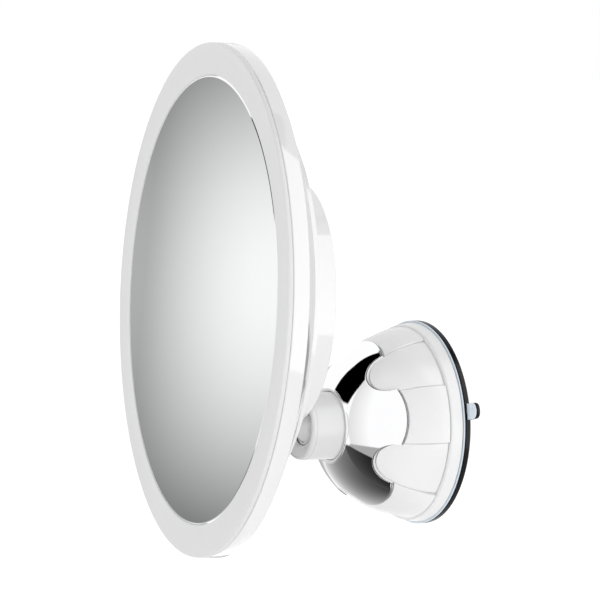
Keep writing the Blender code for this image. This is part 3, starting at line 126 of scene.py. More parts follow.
SCREW_RECESS_WIDTH = 0.00028
SCREW_RECESS_DEPTH = 0.0006
SCREW_HOLE = 0.0014
DISH_RADIUS = 0.0160
DISH_DEPTH = 0.0030
DISH_RIM = 0.0013
BOSS_RADIUS = 0.0080
BOSS_CONE_RADIUS = 0.0071
BOSS_TIP_RADIUS = 0.0053
BOSS_CONE = 0.0031
BOSS_STEP = 0.0008
BOSS_SEAT = 0.0002
BOSS_PROUD = 0.0001
SHANK_HOLE = 0.00275

# Battery door and button
DOOR_HALF_WIDTH = 0.0296
DOOR_LOW = -0.02555
DOOR_HIGH = 0.02955
DOOR_TONGUE_HALF = 0.0080
DOOR_TOP = 0.03885
DOOR_CORNER = 0.0030
DOOR_EDGE = 0.0003
DOOR_SCREW_Z = 0.03465
GRIP_RIB_COUNT = 5
GRIP_RIB_PITCH = 0.0026
GRIP_RIB_HALF = 0.0095
GRIP_RIB_RADIUS = 0.0005
GRIP_RIB_START = 0.0100
BUTTON_X = 0.0380
BUTTON_RADIUS = 0.0040
BUTTON_PROUD = 0.0012
BUTTON_EDGE = 0.0005
BUTTON_DIMPLE = 0.0004
BUTTON_DIMPLE_RADIUS = 0.0030
BUTTON_GAP = 0.00035
BUTTON_FLANGE_RADIUS = 0.0052
BUTTON_FLANGE_DEPTH = 0.0366
BUTTON_FLANGE_THICK = 0.0014
BUTTON_STEM_RADIUS = 0.0020
BUTTON_STEM_DEPTH = 0.0330

# Ball stud
BALL_RADIUS = 0.0070
BALL_STEPS = 20
NECK_RADIUS = 0.0034
SHANK_RADIUS = 0.0024
SHANK_FRONT_DEPTH = 0.0139

# Barrel and collar, heights from the wall
BARREL_RADIUS = 0.01315
BARREL_EDGE = 0.0010
BARREL_BORE = 0.0120
BARREL_CHAMBER = 0.0102
BARREL_FOOT = 0.0343
BARREL_FLOOR = 0.0363
BARREL_FLANGE_RADIUS = 0.0155
BARREL_FLANGE = 0.0015
BARREL_MOUTH = 0.055867
BARREL_LEDGE = 0.052567
BARREL_SCREW_HOLE = 0.0017
BARREL_BAND = 0.0022
BARREL_BAND_INSET = 0.0002
COLLAR_RADIUS = 0.01195
COLLAR_LOW = 0.052867
COLLAR_TOP = 0.055567
COLLAR_FACE = 0.0004
COLLAR_LIP_RADIUS = 0.00739
COLLAR_LIP_HEIGHT = 0.053464
COLLAR_SEAT_RADIUS = 0.00778

# Dome and grip, heights from the wall
DOME_RADIUS = 0.0370
DOME_HEIGHT = 0.036447
DOME_CENTRE = 0.0082
DOME_FOOT = 0.0085
DOME_INSIDE = 0.0333
DOME_INSIDE_HEIGHT = 0.0335
DOME_SEAT = 0.0023
DOME_EDGE_ROUND = 0.0004
DOME_EDGE_SLOPE = 0.0005
DOME_BORE = 0.0135
DOME_RIM_RADIUS = 0.0149
DOME_RIM_HEIGHT = 0.041561
DOME_RIM_ROUND = 0.0004
DOME_ROWS = 40
DOME_SEAT_ROWS = 6
DOME_INSIDE_ROWS = 10
PETAL_GAP = 0.0001
PETAL_THICK = 0.0008
PETAL_LONG_RISE = 0.0011
PETAL_SHORT_RISE = 0.0021
PETAL_FILLET = 0.0003
# Width of the strip beside the cap that is painted dark as the gap's shade
PETAL_PAINTED_SHADE_WIDTH = 0.0002
PETAL_CREASE = 0.0003
# Share of that painted shade given to the creases
PETAL_CREASE_PAINTED_SHADE_SHARE = 0.5
PETAL_PAIRS = 5
PETAL_LONG_STEPS = 22
PETAL_SHORT_STEPS = 14
PETAL_ROWS = 26
PETAL_START = math.radians(45.0)
PETAL_STEP = math.radians(0.5)
PETAL_LONG_HALF = math.radians(16.5)
PETAL_FOOT_HALF = math.radians(18.3)
PETAL_TIP = math.radians(43.9)
PETAL_CORNER = math.radians(60.05)
PETAL_DIP = math.radians(63.05)
PETAL_ROUND_POWER = 2.2

# Numbers that tell the corners of the cap's rounded edge, painted with a dark reflection, and of its bare
# wall from the rest
PAINTED_REFLECTION_MARK = 1
BARE_MARK = 2

# Base, film and pad, heights from the wall
PAD_RADIUS = 0.0400
PAD_THICK = 0.0028
PAD_EDGE = 0.0003
PAD_FOOT_INSET = 0.0012
PAD_FOOT_HEIGHT = 0.0009
BACKING_LOW = 0.0031
BACKING_HIGH = 0.0035
BACKING_INNER = 0.0300
BACKING_EDGE = 0.0001
BASE_RADIUS = 0.0392
BASE_TOP_RADIUS = 0.0386
BASE_LOW = 0.0038
BASE_TOP = 0.0082
BASE_EDGE = 0.0008
SLEEVE_RADIUS = 0.0085
SLEEVE_BORE = 0.0056
SLEEVE_TOP = 0.0340
SLEEVE_END = 0.0025
BASE_PLATE = 0.0016
BASE_FOOT_INNER = 0.0315
TAB_ANGLE = math.radians(9.3)
TAB_LENGTH = 0.0071
TAB_HALF = 0.0032
TAB_ROOT = 0.0030
TAB_LOW = 0.0002
TAB_HIGH = 0.0016
TAB_BEVEL = 0.0002
TAB_CORNER = 0.0028
TAB_FILM_GAP = 0.0004
TAB_FILM_LOW = 0.0019
TAB_FILM_HIGH = 0.0023

# Finishes
CLOUD_SCALE = 35.0
CLOUD_DETAIL = 4.0
CLOUD_SHARE = 0.015
ROUGH_LOW_SHARE = 0.85
ROUGH_HIGH_SHARE = 1.2
GRAIN_SCALE = 900.0
GRAIN_DETAIL = 2.0
GRAIN_STRENGTH = 0.3
GRAIN_RELIEF = 0.00001
FOAM_GRAIN_SCALE = 400.0
FOAM_RELIEF = 0.0001
SMEAR_SCALE = 60.0
SMEAR_DETAIL = 5.0
SMEAR_DISTORTION = 0.6
SMEAR_TINT_SHARE = 0.98

# Camera
CAMERA_AZIMUTH = math.radians(61.4)
CAMERA_ELEVATION = math.radians(3.3)
CAMERA_LENS_SHARE = 7104 / 600
CAMERA_SENSOR = 36.0
PAD_SEEN_HEIGHT = 0.0025
PAD_SEEN_RIGHT = 0.0457
PAD_SEEN_DOWN = 0.0480
PAD_SEEN_AWAY = 2.7975
CAMERA_CLIP = 100.0

# Stage
FLOOR_HEIGHT = -0.80
FLOOR_HALF = 30.0
FLOOR_GLOW = 0.4
FLOOR_COLOUR = (0.9, 0.9, 0.9, 1)
FLOOR_ROUGHNESS = 0.9
STUDIO_RADIUS = 1.4
STUDIO_SEGMENTS = 360
STUDIO_RINGS = 180

# Light levels
WORLD_LEVEL = 0.79
LAMPS = (
    ("key", 88.0, -12.0, 1.25, 0.8, 3.3),
    ("front_fill", -45.0, 0.0, 2.0, 1.2, 4.7),
    ("low_fill", -5.0, -40.0, 1.15, 0.6, 2.0),
)

# Studio seen in polished surfaces. Directions in degrees: azimuth 0 looks to -Y and 90 to +X.
# Each panel: corners in order, level at its left and right end, how fast the level rises with
# elevation from that at the first corner, and how soft its edges are.
STUDIO_LEVEL = 1.07
STUDIO_PANELS = (
    ("horizon", ((-118, -18), (-118, 8), (-18, 8), (-18, -18)), (0.45, 0.9), 0.0, 6.0),
    ("far_side", ((-150, -14), (-150, 10), (-112, 10), (-112, -14)), (0.72, 0.72), 0.0, 5.0),
    ("ceiling", ((-84, 63), (-84, 100), (190, 100), (190, 63)), (0.15, 0.15), 0.0, 3.0),
    ("flag", ((-50.3, 18), (-54.9, 47), (-9.5, 47), (-17.5, 18)), (0.0, 0.0), 0.0, 1.0),
    ("flag_top", ((-54.6, 44), (-68, 64), (-60, 68), (-9.5, 68), (-9.5, 44)), (0.0, 0.0), 0.0, 1.0),
    ("white_side", ((-12, -30), (-12, 50), (16, 50), (16, -30)), (0.81, 1.07), 0.0, 1.0),
    ("ground", ((-130, -19), (-20, -21), (-20, -100), (-130, -100)), (2.2, 0.18), 0.0238, 2.0),
    ("ground_end", ((-22, -19), (22, -30), (22, -100), (-22, -100)), (0.08, 0.012), 0.0, 2.0),
    ("wedge", ((-14, -19.2), (60, -31.5), (60, -62.9), (-14, -21.6)), (0.43, 0.43), 0.0, 1.2),
    ("softbox", ((96, -24.5), (96, 80), (110.5, 80), (160, 44.4), (160, -24.5)), (3.3, 3.3), 0.0, 1.0),
)

# Card that the glass shows, square to the way it looks from the camera's side
CARD_AZIMUTH = -79.58
CARD_ELEVATION = -1.53
CARD_REACH = 0.9
CARD_CENTRE = (-0.0069, -0.0942, 0.0503)
CARD_HALF = (0.09, 0.17)
CARD_CUTS = (36, 68)
CARD_LEVEL = 1.0
CARD_DARK_SIDE = 0.056
CARD_BRIGHT_SIDE = 0.035
CARD_PEAK = 0.012
CARD_FALL = 0.165
CARD_SIDE_LEAST_SHARE = 0.3
CARD_FALL_MOST_SHARE = 0.9
CARD_FALL_POWER = 1.3


def turned(profile, sides, centre=(0, 0)):
    """Closed body turned about a line along Y. The profile holds (radius, y), from axis to axis or closed."""
    bm = bmesh.new()
    verts = [bm.verts.new((centre[0] + radius, y, centre[1])) for radius, y in profile]
    edges = [bm.edges.new(pair) for pair in zip(verts, verts[1:])]
    if profile[0][0] > 0 or profile[-1][0] > 0:
        edges.append(bm.edges.new((verts[-1], verts[0])))
    bmesh.ops.spin(
        bm, geom=verts + edges, cent=(centre[0], 0, centre[1]), axis=(0, 1, 0),
        angle=math.tau, steps=sides, use_merge=True,
    )
    bmesh.ops.remove_doubles(bm, verts=bm.verts, dist=MERGE)
    bmesh.ops.recalc_face_normals(bm, faces=bm.faces)
    return bm


def rod(radius, low, high, sides, centre=(0, 0)):
    return turned([(0, low), (radius, low), (radius, high), (0, high)], sides, centre)


def prism(outline, low, high):
    """The outline's (x, z) points, extruded along Y."""
    bm = bmesh.new()
    face = bm.faces.new([bm.verts.new((x, low, z)) for x, z in outline])
    grown = bmesh.ops.extrude_face_region(bm, geom=[face])
    moved = [item for item in grown["geom"] if isinstance(item, bmesh.types.BMVert)]
    bmesh.ops.translate(bm, verts=moved, vec=(0, high - low, 0))
    bmesh.ops.recalc_face_normals(bm, faces=bm.faces)
    return bm


def bevelled(bm, width):
    """Rounds a shape's sharp edges."""
    sharp = [edge for edge in bm.edges if edge.calc_face_angle(0) > BEVEL_ANGLE]
    bmesh.ops.bevel(bm, geom=sharp, offset=width, segments=BEVEL_STEPS, profile=0.5, affect="EDGES")
    return bm


def box(low, high):
    bm = bmesh.new()
    bmesh.ops.create_cube(bm, size=1)
    size = [b - a for a, b in zip(low, high)]
    middle = [(a + b) / 2 for a, b in zip(low, high)]
    bm.transform(Matrix.Translation(middle) @ Matrix.Diagonal((*size, 1)))
    return bm


def arc(radius, start, end, steps, centre):
    turns = [start + (end - start) * i / steps for i in range(steps + 1)]
    return [(centre[0] + radius * math.cos(t), centre[1] + radius * math.sin(t)) for t in turns]


def quarter_dome(radius, rise):
    """Points (radius, height) from the foot of a shallow dome to the last one before its top."""
    turns = [math.pi / 2 * i / FILLET_STEPS for i in range(FILLET_STEPS)]
    return [(radius * math.cos(t), rise * math.sin(t)) for t in turns]


def around(count, radius, start=0.0):
    turns = [start + math.tau * i / count for i in range(count)]
    return [(radius * math.cos(t), radius * math.sin(t)) for t in turns]


def merged(shapes):
    """One set of faces from several shapes."""
    whole = bmesh.new()
    for shape in shapes:
        mesh = bpy.data.meshes.new("shape")
        shape.to_mesh(mesh)
        shape.free()
        whole.from_mesh(mesh)
        bpy.data.meshes.remove(mesh)
    return whole


def plain_object(name, bm):
    mesh = bpy.data.meshes.new(name)
    bm.to_mesh(mesh)
    bm.free()
    made = bpy.data.objects.new(name, mesh)
    bpy.context.scene.collection.objects.link(made)
    return made


def combined(base, steps):
    """Applies (operation, shape) steps to the base shape and returns the new mesh."""
    body = plain_object("body", base)
    tools = []
    for operation, shape in steps:
        tool = plain_object("tool", shape)
        tools.append(tool)
        modifier = body.modifiers.new("step", "BOOLEAN")
        modifier.operation = operation
        modifier.solver = "EXACT"
        modifier.object = tool
    bpy.context.view_layer.update()
    evaluated = body.evaluated_get(bpy.context.evaluated_depsgraph_get())
    mesh = bpy.data.meshes.new_from_object(evaluated)
    bm = bmesh.new()
    bm.from_mesh(mesh)
    for item in (body, *tools):
        bpy.data.objects.remove(item, do_unlink=True)
    bpy.data.meshes.remove(mesh)
    return bm


def piece(name, bm, finish, rides, stands_for=(), place=None, sharp=SHARP_ANGLE):
    """A shown piece of the object, on its CAD body and with its material."""
    made = plain_object(name, bm)
    made.data.shade_smooth()
    made.data.set_sharp_from_angle(angle=sharp)
    made.data.materials.append(finish)
    if place is not None:
        made.matrix_world = place
    made.visible_glossy = rides not in UNSEEN_IN_GLOSS
    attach(made, rides)
    if stands_for:
        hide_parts(*stands_for)
    return made


def head_place():
    """Where the head stands at rest: its own centre, turned about the ball."""
    ball = Matrix.Translation((0, -BALL_HEIGHT, 0))
    turn = Matrix.Rotation(REST_YAW, 4, "Z") @ Matrix.Rotation(REST_PITCH, 4, "X")
    return ball @ turn @ Matrix.Translation((0, -BALL_DEPTH, BALL_DROP))


def new_material(name):
    made = bpy.data.materials.new(name)
    made.use_nodes = True
    return made, made.node_tree.nodes, made.node_tree.links


def plastic(name, colour, roughness, grain=GRAIN_SCALE, relief=GRAIN_RELIEF, mottle=CLOUD_SHARE,
            coat=0.0, specular=0.5, line=None):
    """Moulded surface with a fine grain, faint cloudiness and uneven gloss, and a line of painted shade where
    a mesh asks.
    """
    made, nodes, links = new_material(name)
    shader = nodes["Principled BSDF"]
    place = nodes.new("ShaderNodeTexCoord")
    cloud = nodes.new("ShaderNodeTexNoise")
    cloud.inputs["Scale"].default_value = CLOUD_SCALE
    cloud.inputs["Detail"].default_value = CLOUD_DETAIL
    links.new(place.outputs["Object"], cloud.inputs["Vector"])
    tint = nodes.new("ShaderNodeMix")
    tint.data_type = "RGBA"
    tint.inputs["A"].default_value = (*[c * (1 - mottle) for c in colour], 1)
    tint.inputs["B"].default_value = (*[min(1, c * (1 + mottle)) for c in colour], 1)
    links.new(cloud.outputs["Fac"], tint.inputs["Factor"])
    shown = tint.outputs["Result"]
    if line is not None:
        shown = lined(nodes, links, shown, line)
    links.new(shown, shader.inputs["Base Color"])
    gloss = nodes.new("ShaderNodeMapRange")
    gloss.inputs["To Min"].default_value = roughness * ROUGH_LOW_SHARE
    gloss.inputs["To Max"].default_value = roughness * ROUGH_HIGH_SHARE
    links.new(cloud.outputs["Fac"], gloss.inputs["Value"])
    links.new(gloss.outputs["Result"], shader.inputs["Roughness"])
    fine = nodes.new("ShaderNodeTexNoise")
    fine.inputs["Scale"].default_value = grain
    fine.inputs["Detail"].default_value = GRAIN_DETAIL
    links.new(place.outputs["Object"], fine.inputs["Vector"])
    bump = nodes.new("ShaderNodeBump")
    bump.inputs["Strength"].default_value = GRAIN_STRENGTH
    bump.inputs["Distance"].default_value = relief
    links.new(fine.outputs["Fac"], bump.inputs["Height"])
    links.new(bump.outputs["Normal"], shader.inputs["Normal"])
    shader.inputs["Coat Weight"].default_value = coat
    shader.inputs["Specular IOR Level"].default_value = specular
    return made


def lined(nodes, links, shown, line):
    """Colour with a thin line of another colour where the mesh asks for it: painted shade on the grip, a
    painted dark reflection on the cap's edge.
    """
    mark = nodes.new("ShaderNodeAttribute")
    mark.attribute_name = "line"
    both = nodes.new("ShaderNodeMix")
    both.data_type = "RGBA"
    both.inputs["B"].default_value = (*line, 1)
    links.new(mark.outputs["Fac"], both.inputs["Factor"])
    links.new(shown, both.inputs["A"])
    return both.outputs["Result"]


def metal(name, colour, roughness, scratch=0.0, line=None):
    """Polished metal whose gloss varies a little, as from wiping.

    With a line colour, it paints a dark reflection where the mesh marks the line, and its plating ends where
    the mesh says that it is bare.
    """
    made, nodes, links = new_material(name)
    shader = nodes["Principled BSDF"]
    shader.inputs["Metallic"].default_value = 1.0
    place = nodes.new("ShaderNodeTexCoord")
    smear = nodes.new("ShaderNodeTexNoise")
    smear.inputs["Scale"].default_value = SMEAR_SCALE
    smear.inputs["Detail"].default_value = SMEAR_DETAIL
    smear.inputs["Distortion"].default_value = SMEAR_DISTORTION
    links.new(place.outputs["Object"], smear.inputs["Vector"])
    gloss = nodes.new("ShaderNodeMapRange")
    gloss.inputs["To Min"].default_value = roughness
    gloss.inputs["To Max"].default_value = roughness + scratch
    links.new(smear.outputs["Fac"], gloss.inputs["Value"])
    links.new(gloss.outputs["Result"], shader.inputs["Roughness"])
    tint = nodes.new("ShaderNodeMix")
    tint.data_type = "RGBA"
    tint.inputs["A"].default_value = (*[c * SMEAR_TINT_SHARE for c in colour], 1)
    tint.inputs["B"].default_value = (*colour, 1)
    links.new(smear.outputs["Fac"], tint.inputs["Factor"])
    shown = tint.outputs["Result"]
    if line is not None:
        shown = lined(nodes, links, shown, line)
        bare = nodes.new("ShaderNodeAttribute")
        bare.attribute_name = "bare"
        plated = nodes.new("ShaderNodeMapRange")
        plated.inputs["To Min"].default_value = 1.0
        plated.inputs["To Max"].default_value = 0.0
        links.new(bare.outputs["Fac"], plated.inputs["Value"])
        links.new(plated.outputs["Result"], shader.inputs["Metallic"])
    links.new(shown, shader.inputs["Base Color"])
    return made


def make_finishes():
    return {
        "mirror": metal("silvered_glass", (0.93, 0.94, 0.94), 0.0, 0.02),
        "opal_plastic": plastic("opal_diffuser", (0.77, 0.775, 0.77), 0.4),
        "white_plastic": plastic("gloss_white", (0.86, 0.86, 0.86), 0.08, coat=0.3),
        "satin_white": plastic("satin_white", (0.86, 0.86, 0.86), 0.3),
        # Grip white whose line colour is painted as shade beside the cap and in the creases
        "grip_white_painted_shade": plastic("grip_white_painted_shade", (0.86, 0.86, 0.86), 0.25, line=(0.4, 0.4, 0.4)),
        # Darker copy of the satin white: painted shade for the head's shadow on the barrel and collar
        "barrel_white_painted_shade": plastic("barrel_white_painted_shade", (0.73, 0.73, 0.73), 0.3),
        # Chrome whose near black line colour is painted as a dark reflection on the cap's rounded edge
        "chrome": metal("chrome", (0.93, 0.93, 0.94), 0.02, 0.02, line=(0.05, 0.05, 0.05)),
        "black_rubber": plastic("pad_rubber", (0.005, 0.005, 0.006), 0.14, mottle=0.1, specular=0.15),
        "blue_film": plastic("blue_film", (0.73, 0.81, 0.89), 0.18),
        "steel": metal("screw_steel", (0.62, 0.62, 0.63), 0.22, 0.1),
        "nylon": plastic("nylon", (0.82, 0.82, 0.81), 0.5),
        "foam": plastic("foam", (0.8, 0.8, 0.8), 0.9, grain=FOAM_GRAIN_SCALE, relief=FOAM_RELIEF),
        "light_board": plastic("light_board", (0.75, 0.76, 0.74), 0.4),
        "phosphor": plastic("phosphor", (0.8, 0.65, 0.2), 0.6),
        "cable": plastic("cable_sheath", (0.75, 0.75, 0.75), 0.5),
        "black_plastic": plastic("black_plastic", (0.02, 0.02, 0.022), 0.5),
        "grey_plastic": plastic("grey_plastic", (0.12, 0.12, 0.125), 0.5),
        "green_board": plastic("green_board", (0.02, 0.09, 0.04), 0.4),
        "cell": metal("cell_jacket", (0.6, 0.32, 0.16), 0.3, 0.1),
    }


def dress_nodes(frame, finishes):
    """Every CAD node takes the finish of its material slot."""
    record = frame["record"]
    slots = {row["node"]: row["material_slot"] for row in record["subparts"]}
    bodies = record["behaviour"]["bodies"]
    for name, item in frame["nodes"].items():
        item.data.materials.clear()
        item.data.materials.append(finishes[slots[name]])
    for body in UNSEEN_IN_GLOSS:
        for name in bodies[body]:
            frame["nodes"][name].visible_glossy = False


def make_glass(finishes, place):
    front = GLASS_RECESS
    back = GLASS_RECESS + GLASS_THICK
    points = [
        (0, front), (GLASS_RADIUS - GLASS_BEVEL_WIDTH, front), (GLASS_RADIUS, front + GLASS_BEVEL_DEPTH),
        (GLASS_RADIUS, back), (0, back),
    ]
    shape = turned(points, HEAD_SIDES)
    piece("glass_pane", shape, finishes["mirror"], "head", ["mirror_glass"], place,
          sharp=GLASS_SHARP_ANGLE)


def make_light_ring(finishes, place):
    inner = GLASS_RADIUS + RING_GROOVE
    outer = HEAD_RADIUS
    quarter = math.pi / 2
    outer_edge = arc(RING_FILLET, -quarter, 0, FILLET_STEPS, (outer - RING_FILLET, RING_FILLET))
    inner_edge = arc(RING_INNER_FILLET, math.pi, 3 * quarter, FILLET_STEPS,
                     (inner + RING_INNER_FILLET, RING_INNER_FILLET))
    points = [
        *inner_edge, *outer_edge, (outer, RING_SIDE), (RING_SPIGOT_RADIUS, RING_SIDE),
        (RING_SPIGOT_RADIUS, RING_SPIGOT_DEPTH), (RING_SPIGOT_RADIUS - RING_SPIGOT_WALL, RING_SPIGOT_DEPTH),
        (RING_SPIGOT_RADIUS - RING_SPIGOT_WALL, RING_THICK), (inner + RING_LIP, RING_THICK),
        (inner + RING_LIP, RING_LIP_DEPTH), (inner, RING_LIP_DEPTH),
    ]
    shape = turned(points, HEAD_SIDES)
    piece("light_ring", shape, finishes["opal_plastic"], "head", ["diffuser_ring"], place)


def make_shell_front(finishes, place):
    slope = (COVER_DEPTH - CLEAR - HOUSING_SIDE_DEPTH) / (HEAD_RADIUS - HOUSING_BACK_RADIUS)
    rim = RING_SIDE + CLEAR
    back = COVER_DEPTH - CLEAR
    inner = HEAD_RADIUS - HOUSING_WALL
    shelf = back - HOUSING_FLANGE_THICK
    shelf_radius = HEAD_RADIUS - (shelf + CONE_WALL - HOUSING_SIDE_DEPTH) / slope
    cone = []
    for i in range(1, CONE_STEPS):
        share = i / CONE_STEPS
        radius = HEAD_RADIUS + (HOUSING_BACK_RADIUS - HEAD_RADIUS) * share
        depth = HOUSING_SIDE_DEPTH + (back - HOUSING_SIDE_DEPTH) * share
        cone.append((radius, depth + HOUSING_BULGE * math.sin(math.pi * share)))
    points = [
        (HEAD_RADIUS - HOUSING_EDGE, rim), (HEAD_RADIUS, rim + HOUSING_EDGE),
        (HEAD_RADIUS, HOUSING_SIDE_DEPTH - HOUSING_TURN / 2),
        (HEAD_RADIUS - HOUSING_TURN / 4, HOUSING_SIDE_DEPTH), *cone, (HOUSING_BACK_RADIUS, back),
        (HOUSING_FLANGE_INNER, back), (HOUSING_FLANGE_INNER, shelf), (shelf_radius, shelf),
        (inner, HOUSING_SIDE_DEPTH - CONE_WALL + HOUSING_WALL * slope), (inner, rim),
    ]
    shape = turned(points, HEAD_SIDES)
    piece("shell_front", shape, finishes["white_plastic"], "head", ["front_housing"], place)


def lens_outline(radius, hub_radius):
    """Part of a circle about the ball's axis that lies within a circle about the hub's centre."""
    cosine = (radius ** 2 + BALL_DROP ** 2 - hub_radius ** 2) / (2 * radius * BALL_DROP)
    spread = math.acos(cosine)
    half = math.asin(radius * math.sin(spread) / hub_radius)
    top = arc(radius, math.pi / 2 - spread, math.pi / 2 + spread, LENS_STEPS, (0, -BALL_DROP))
    bottom = arc(hub_radius, -math.pi / 2 - half, -math.pi / 2 + half, LENS_STEPS, (0, 0))
    return top + bottom[1:-1]


def door_outline(margin):
    half = DOOR_HALF_WIDTH + margin
    low = DOOR_LOW - margin
    high = DOOR_HIGH + margin
    tongue = DOOR_TONGUE_HALF + margin
    top = DOOR_TOP + margin
    quarter = math.pi / 2
    corner = DOOR_CORNER

    def round_corner(x, z, start, sweep=quarter):
        return arc(corner, start, start + sweep, FILLET_STEPS, (x, z))

    return [
        *round_corner(-half + corner, low + corner, 2 * quarter),
        *round_corner(half - corner, low + corner, -quarter),
        *round_corner(half - corner, high - corner, 0),
        *round_corner(tongue + corner, high + corner, 3 * quarter, -quarter),
        *round_corner(tongue - corner, top - corner, 0),
        *round_corner(-tongue + corner, top - corner, quarter),
        *round_corner(-tongue - corner, high + corner, 0, -quarter),
        *round_corner(-half + corner, high - corner, quarter),
    ]


def make_shell_back(finishes, place):
    inner = HUB_RADIUS - HUB_WALL
    hub_inside = HUB_DEPTH - HUB_WALL
    cover_back = COVER_DEPTH + COVER_THICK
    edge = arc(HUB_EDGE, 0, math.pi / 2, FILLET_STEPS, (HUB_RADIUS - HUB_EDGE, HUB_DEPTH - HUB_EDGE))
    root = arc(HUB_ROOT, -math.pi / 2, -math.pi, FILLET_STEPS, (HUB_RADIUS + HUB_ROOT, cover_back + HUB_ROOT))
    lip = arc(COVER_EDGE, 0, math.pi / 2, FILLET_STEPS,
              (HOUSING_BACK_RADIUS - COVER_EDGE, cover_back - COVER_EDGE))
    skirt = COVER_DEPTH - COVER_SKIRT
    skirt_inner = HOUSING_BACK_RADIUS - COVER_SKIRT_WALL
    points = [
        (0, hub_inside), (inner, hub_inside), (inner, COVER_DEPTH),
        (skirt_inner, COVER_DEPTH), (skirt_inner, skirt),
        (HOUSING_BACK_RADIUS, skirt), *lip, *root, *edge, (0, HUB_DEPTH),
    ]
    opening = prism(door_outline(CLEAR), hub_inside - CLEAR, HUB_DEPTH + OVERRUN)
    pan = prism(lens_outline(DISH_RADIUS + HUB_WALL, (HUB_RADIUS + inner) / 2),
                HUB_DEPTH - DISH_DEPTH - HUB_WALL, (HUB_DEPTH + hub_inside) / 2)
    dish = prism(lens_outline(DISH_RADIUS, HUB_RADIUS - DISH_RIM),
                 HUB_DEPTH - DISH_DEPTH, HUB_DEPTH + OVERRUN)
    tip = HUB_DEPTH + BOSS_PROUD
    cone_foot = tip - BOSS_CONE
    front = COVER_DEPTH + BOSS_SEAT
    boss = turned([
        (0, front), (BOSS_RADIUS, front), (BOSS_RADIUS, cone_foot - BOSS_STEP), (BOSS_CONE_RADIUS, cone_foot),
        (BOSS_TIP_RADIUS, tip), (0, tip),
    ], MID_SIDES, (0, -BALL_DROP))
    holes = [
        rod(SHANK_HOLE, COVER_DEPTH - OVERRUN, HUB_DEPTH + OVERRUN, SMALL_SIDES, (0, -BALL_DROP)),
        rod(BUTTON_RADIUS + BUTTON_GAP, hub_inside - OVERRUN, HUB_DEPTH + OVERRUN, MID_SIDES, (BUTTON_X, 0)),
    ]
    for screw in around(SCREW_COUNT, SCREW_CIRCLE, math.pi / SCREW_COUNT):
        holes.append(rod(SCREW_HOLE, COVER_DEPTH - OVERRUN, cover_back + OVERRUN, SMALL_SIDES, screw))
    shape = combined(turned(points, HEAD_SIDES), [
        ("DIFFERENCE", opening), ("UNION", pan), ("DIFFERENCE", dish), ("UNION", boss),
        ("DIFFERENCE", merged(holes)),
    ])
    piece("shell_back", shape, finishes["white_plastic"], "head", ["back_cover"], place)


def screw_shape(centre, seat):
    """Pan-head screw with a cross recess. The head stands on the seat's outer side."""
    profile = [
        (0, -SCREW_SHANK), (SCREW_SHANK_RADIUS, -SCREW_SHANK), (SCREW_SHANK_RADIUS, 0),
        *quarter_dome(SCREW_HEAD_RADIUS, SCREW_HEAD), (0, SCREW_HEAD),
    ]
    half = SCREW_RECESS_HALF
    width = SCREW_RECESS_WIDTH
    low = SCREW_HEAD - SCREW_RECESS_DEPTH
    high = SCREW_HEAD + OVERRUN
    slots = [("DIFFERENCE", box((-half, low, -width), (half, high, width))),
             ("DIFFERENCE", box((-width, low, -half), (width, high, half)))]
    shape = combined(turned(profile, SMALL_SIDES), slots)
    shape.transform(Matrix.Translation((centre[0], seat, centre[1])))
    return shape


def make_screws(finishes, place):
    steel = finishes["steel"]
    seat = COVER_DEPTH + COVER_THICK + CLEAR
    for i, centre in enumerate(around(SCREW_COUNT, SCREW_CIRCLE, math.pi / SCREW_COUNT)):
        shape = screw_shape(centre, seat)
        piece(f"shell_screw_{i + 1}", shape, steel, "head", [f"cover_screw_{i + 1}"], place)
    shape = screw_shape((0, DOOR_SCREW_Z), HUB_DEPTH + CLEAR)
    piece("door_panel_screw", shape, steel, "head", ["door_screw"], place)


def make_door(finishes, place):
    hub_inside = HUB_DEPTH - HUB_WALL
    panel = bevelled(prism(door_outline(0), hub_inside, HUB_DEPTH), DOOR_EDGE)
    ribs = []
    for i in range(GRIP_RIB_COUNT):
        height = DOOR_HIGH - GRIP_RIB_START - GRIP_RIB_PITCH * i
        rib = rod(GRIP_RIB_RADIUS, -GRIP_RIB_HALF, GRIP_RIB_HALF, SMALL_SIDES // 2)
        rib.transform(Matrix.Rotation(math.pi / 2, 4, "Z"))
        rib.transform(Matrix.Translation((0, HUB_DEPTH, height)))
        ribs.append(rib)
    hole = rod(SCREW_HOLE, hub_inside - OVERRUN, HUB_DEPTH + OVERRUN, SMALL_SIDES, (0, DOOR_SCREW_Z))
    shape = combined(panel, [("UNION", merged(ribs)), ("DIFFERENCE", hole)])
    piece("door_panel", shape, finishes["white_plastic"], "head", ["battery_door"], place)


def make_button(finishes, place):
    top = HUB_DEPTH + BUTTON_PROUD
    flange_front = BUTTON_FLANGE_DEPTH - BUTTON_FLANGE_THICK
    edge = arc(BUTTON_EDGE, 0, math.pi / 2, FILLET_STEPS, (BUTTON_RADIUS - BUTTON_EDGE, top - BUTTON_EDGE))
    dimple = [(radius, top - sunk) for radius, sunk in quarter_dome(BUTTON_DIMPLE_RADIUS, BUTTON_DIMPLE)]
    points = [
        (0, BUTTON_STEM_DEPTH), (BUTTON_STEM_RADIUS, BUTTON_STEM_DEPTH), (BUTTON_STEM_RADIUS, flange_front),
        (BUTTON_FLANGE_RADIUS, flange_front), (BUTTON_FLANGE_RADIUS, BUTTON_FLANGE_DEPTH),
        (BUTTON_RADIUS, BUTTON_FLANGE_DEPTH), *edge, *dimple, (0, top - BUTTON_DIMPLE),
    ]
    shape = turned(points, MID_SIDES, (BUTTON_X, 0))
    piece("button_cap", shape, finishes["white_plastic"], "button", ["power_button"], place)


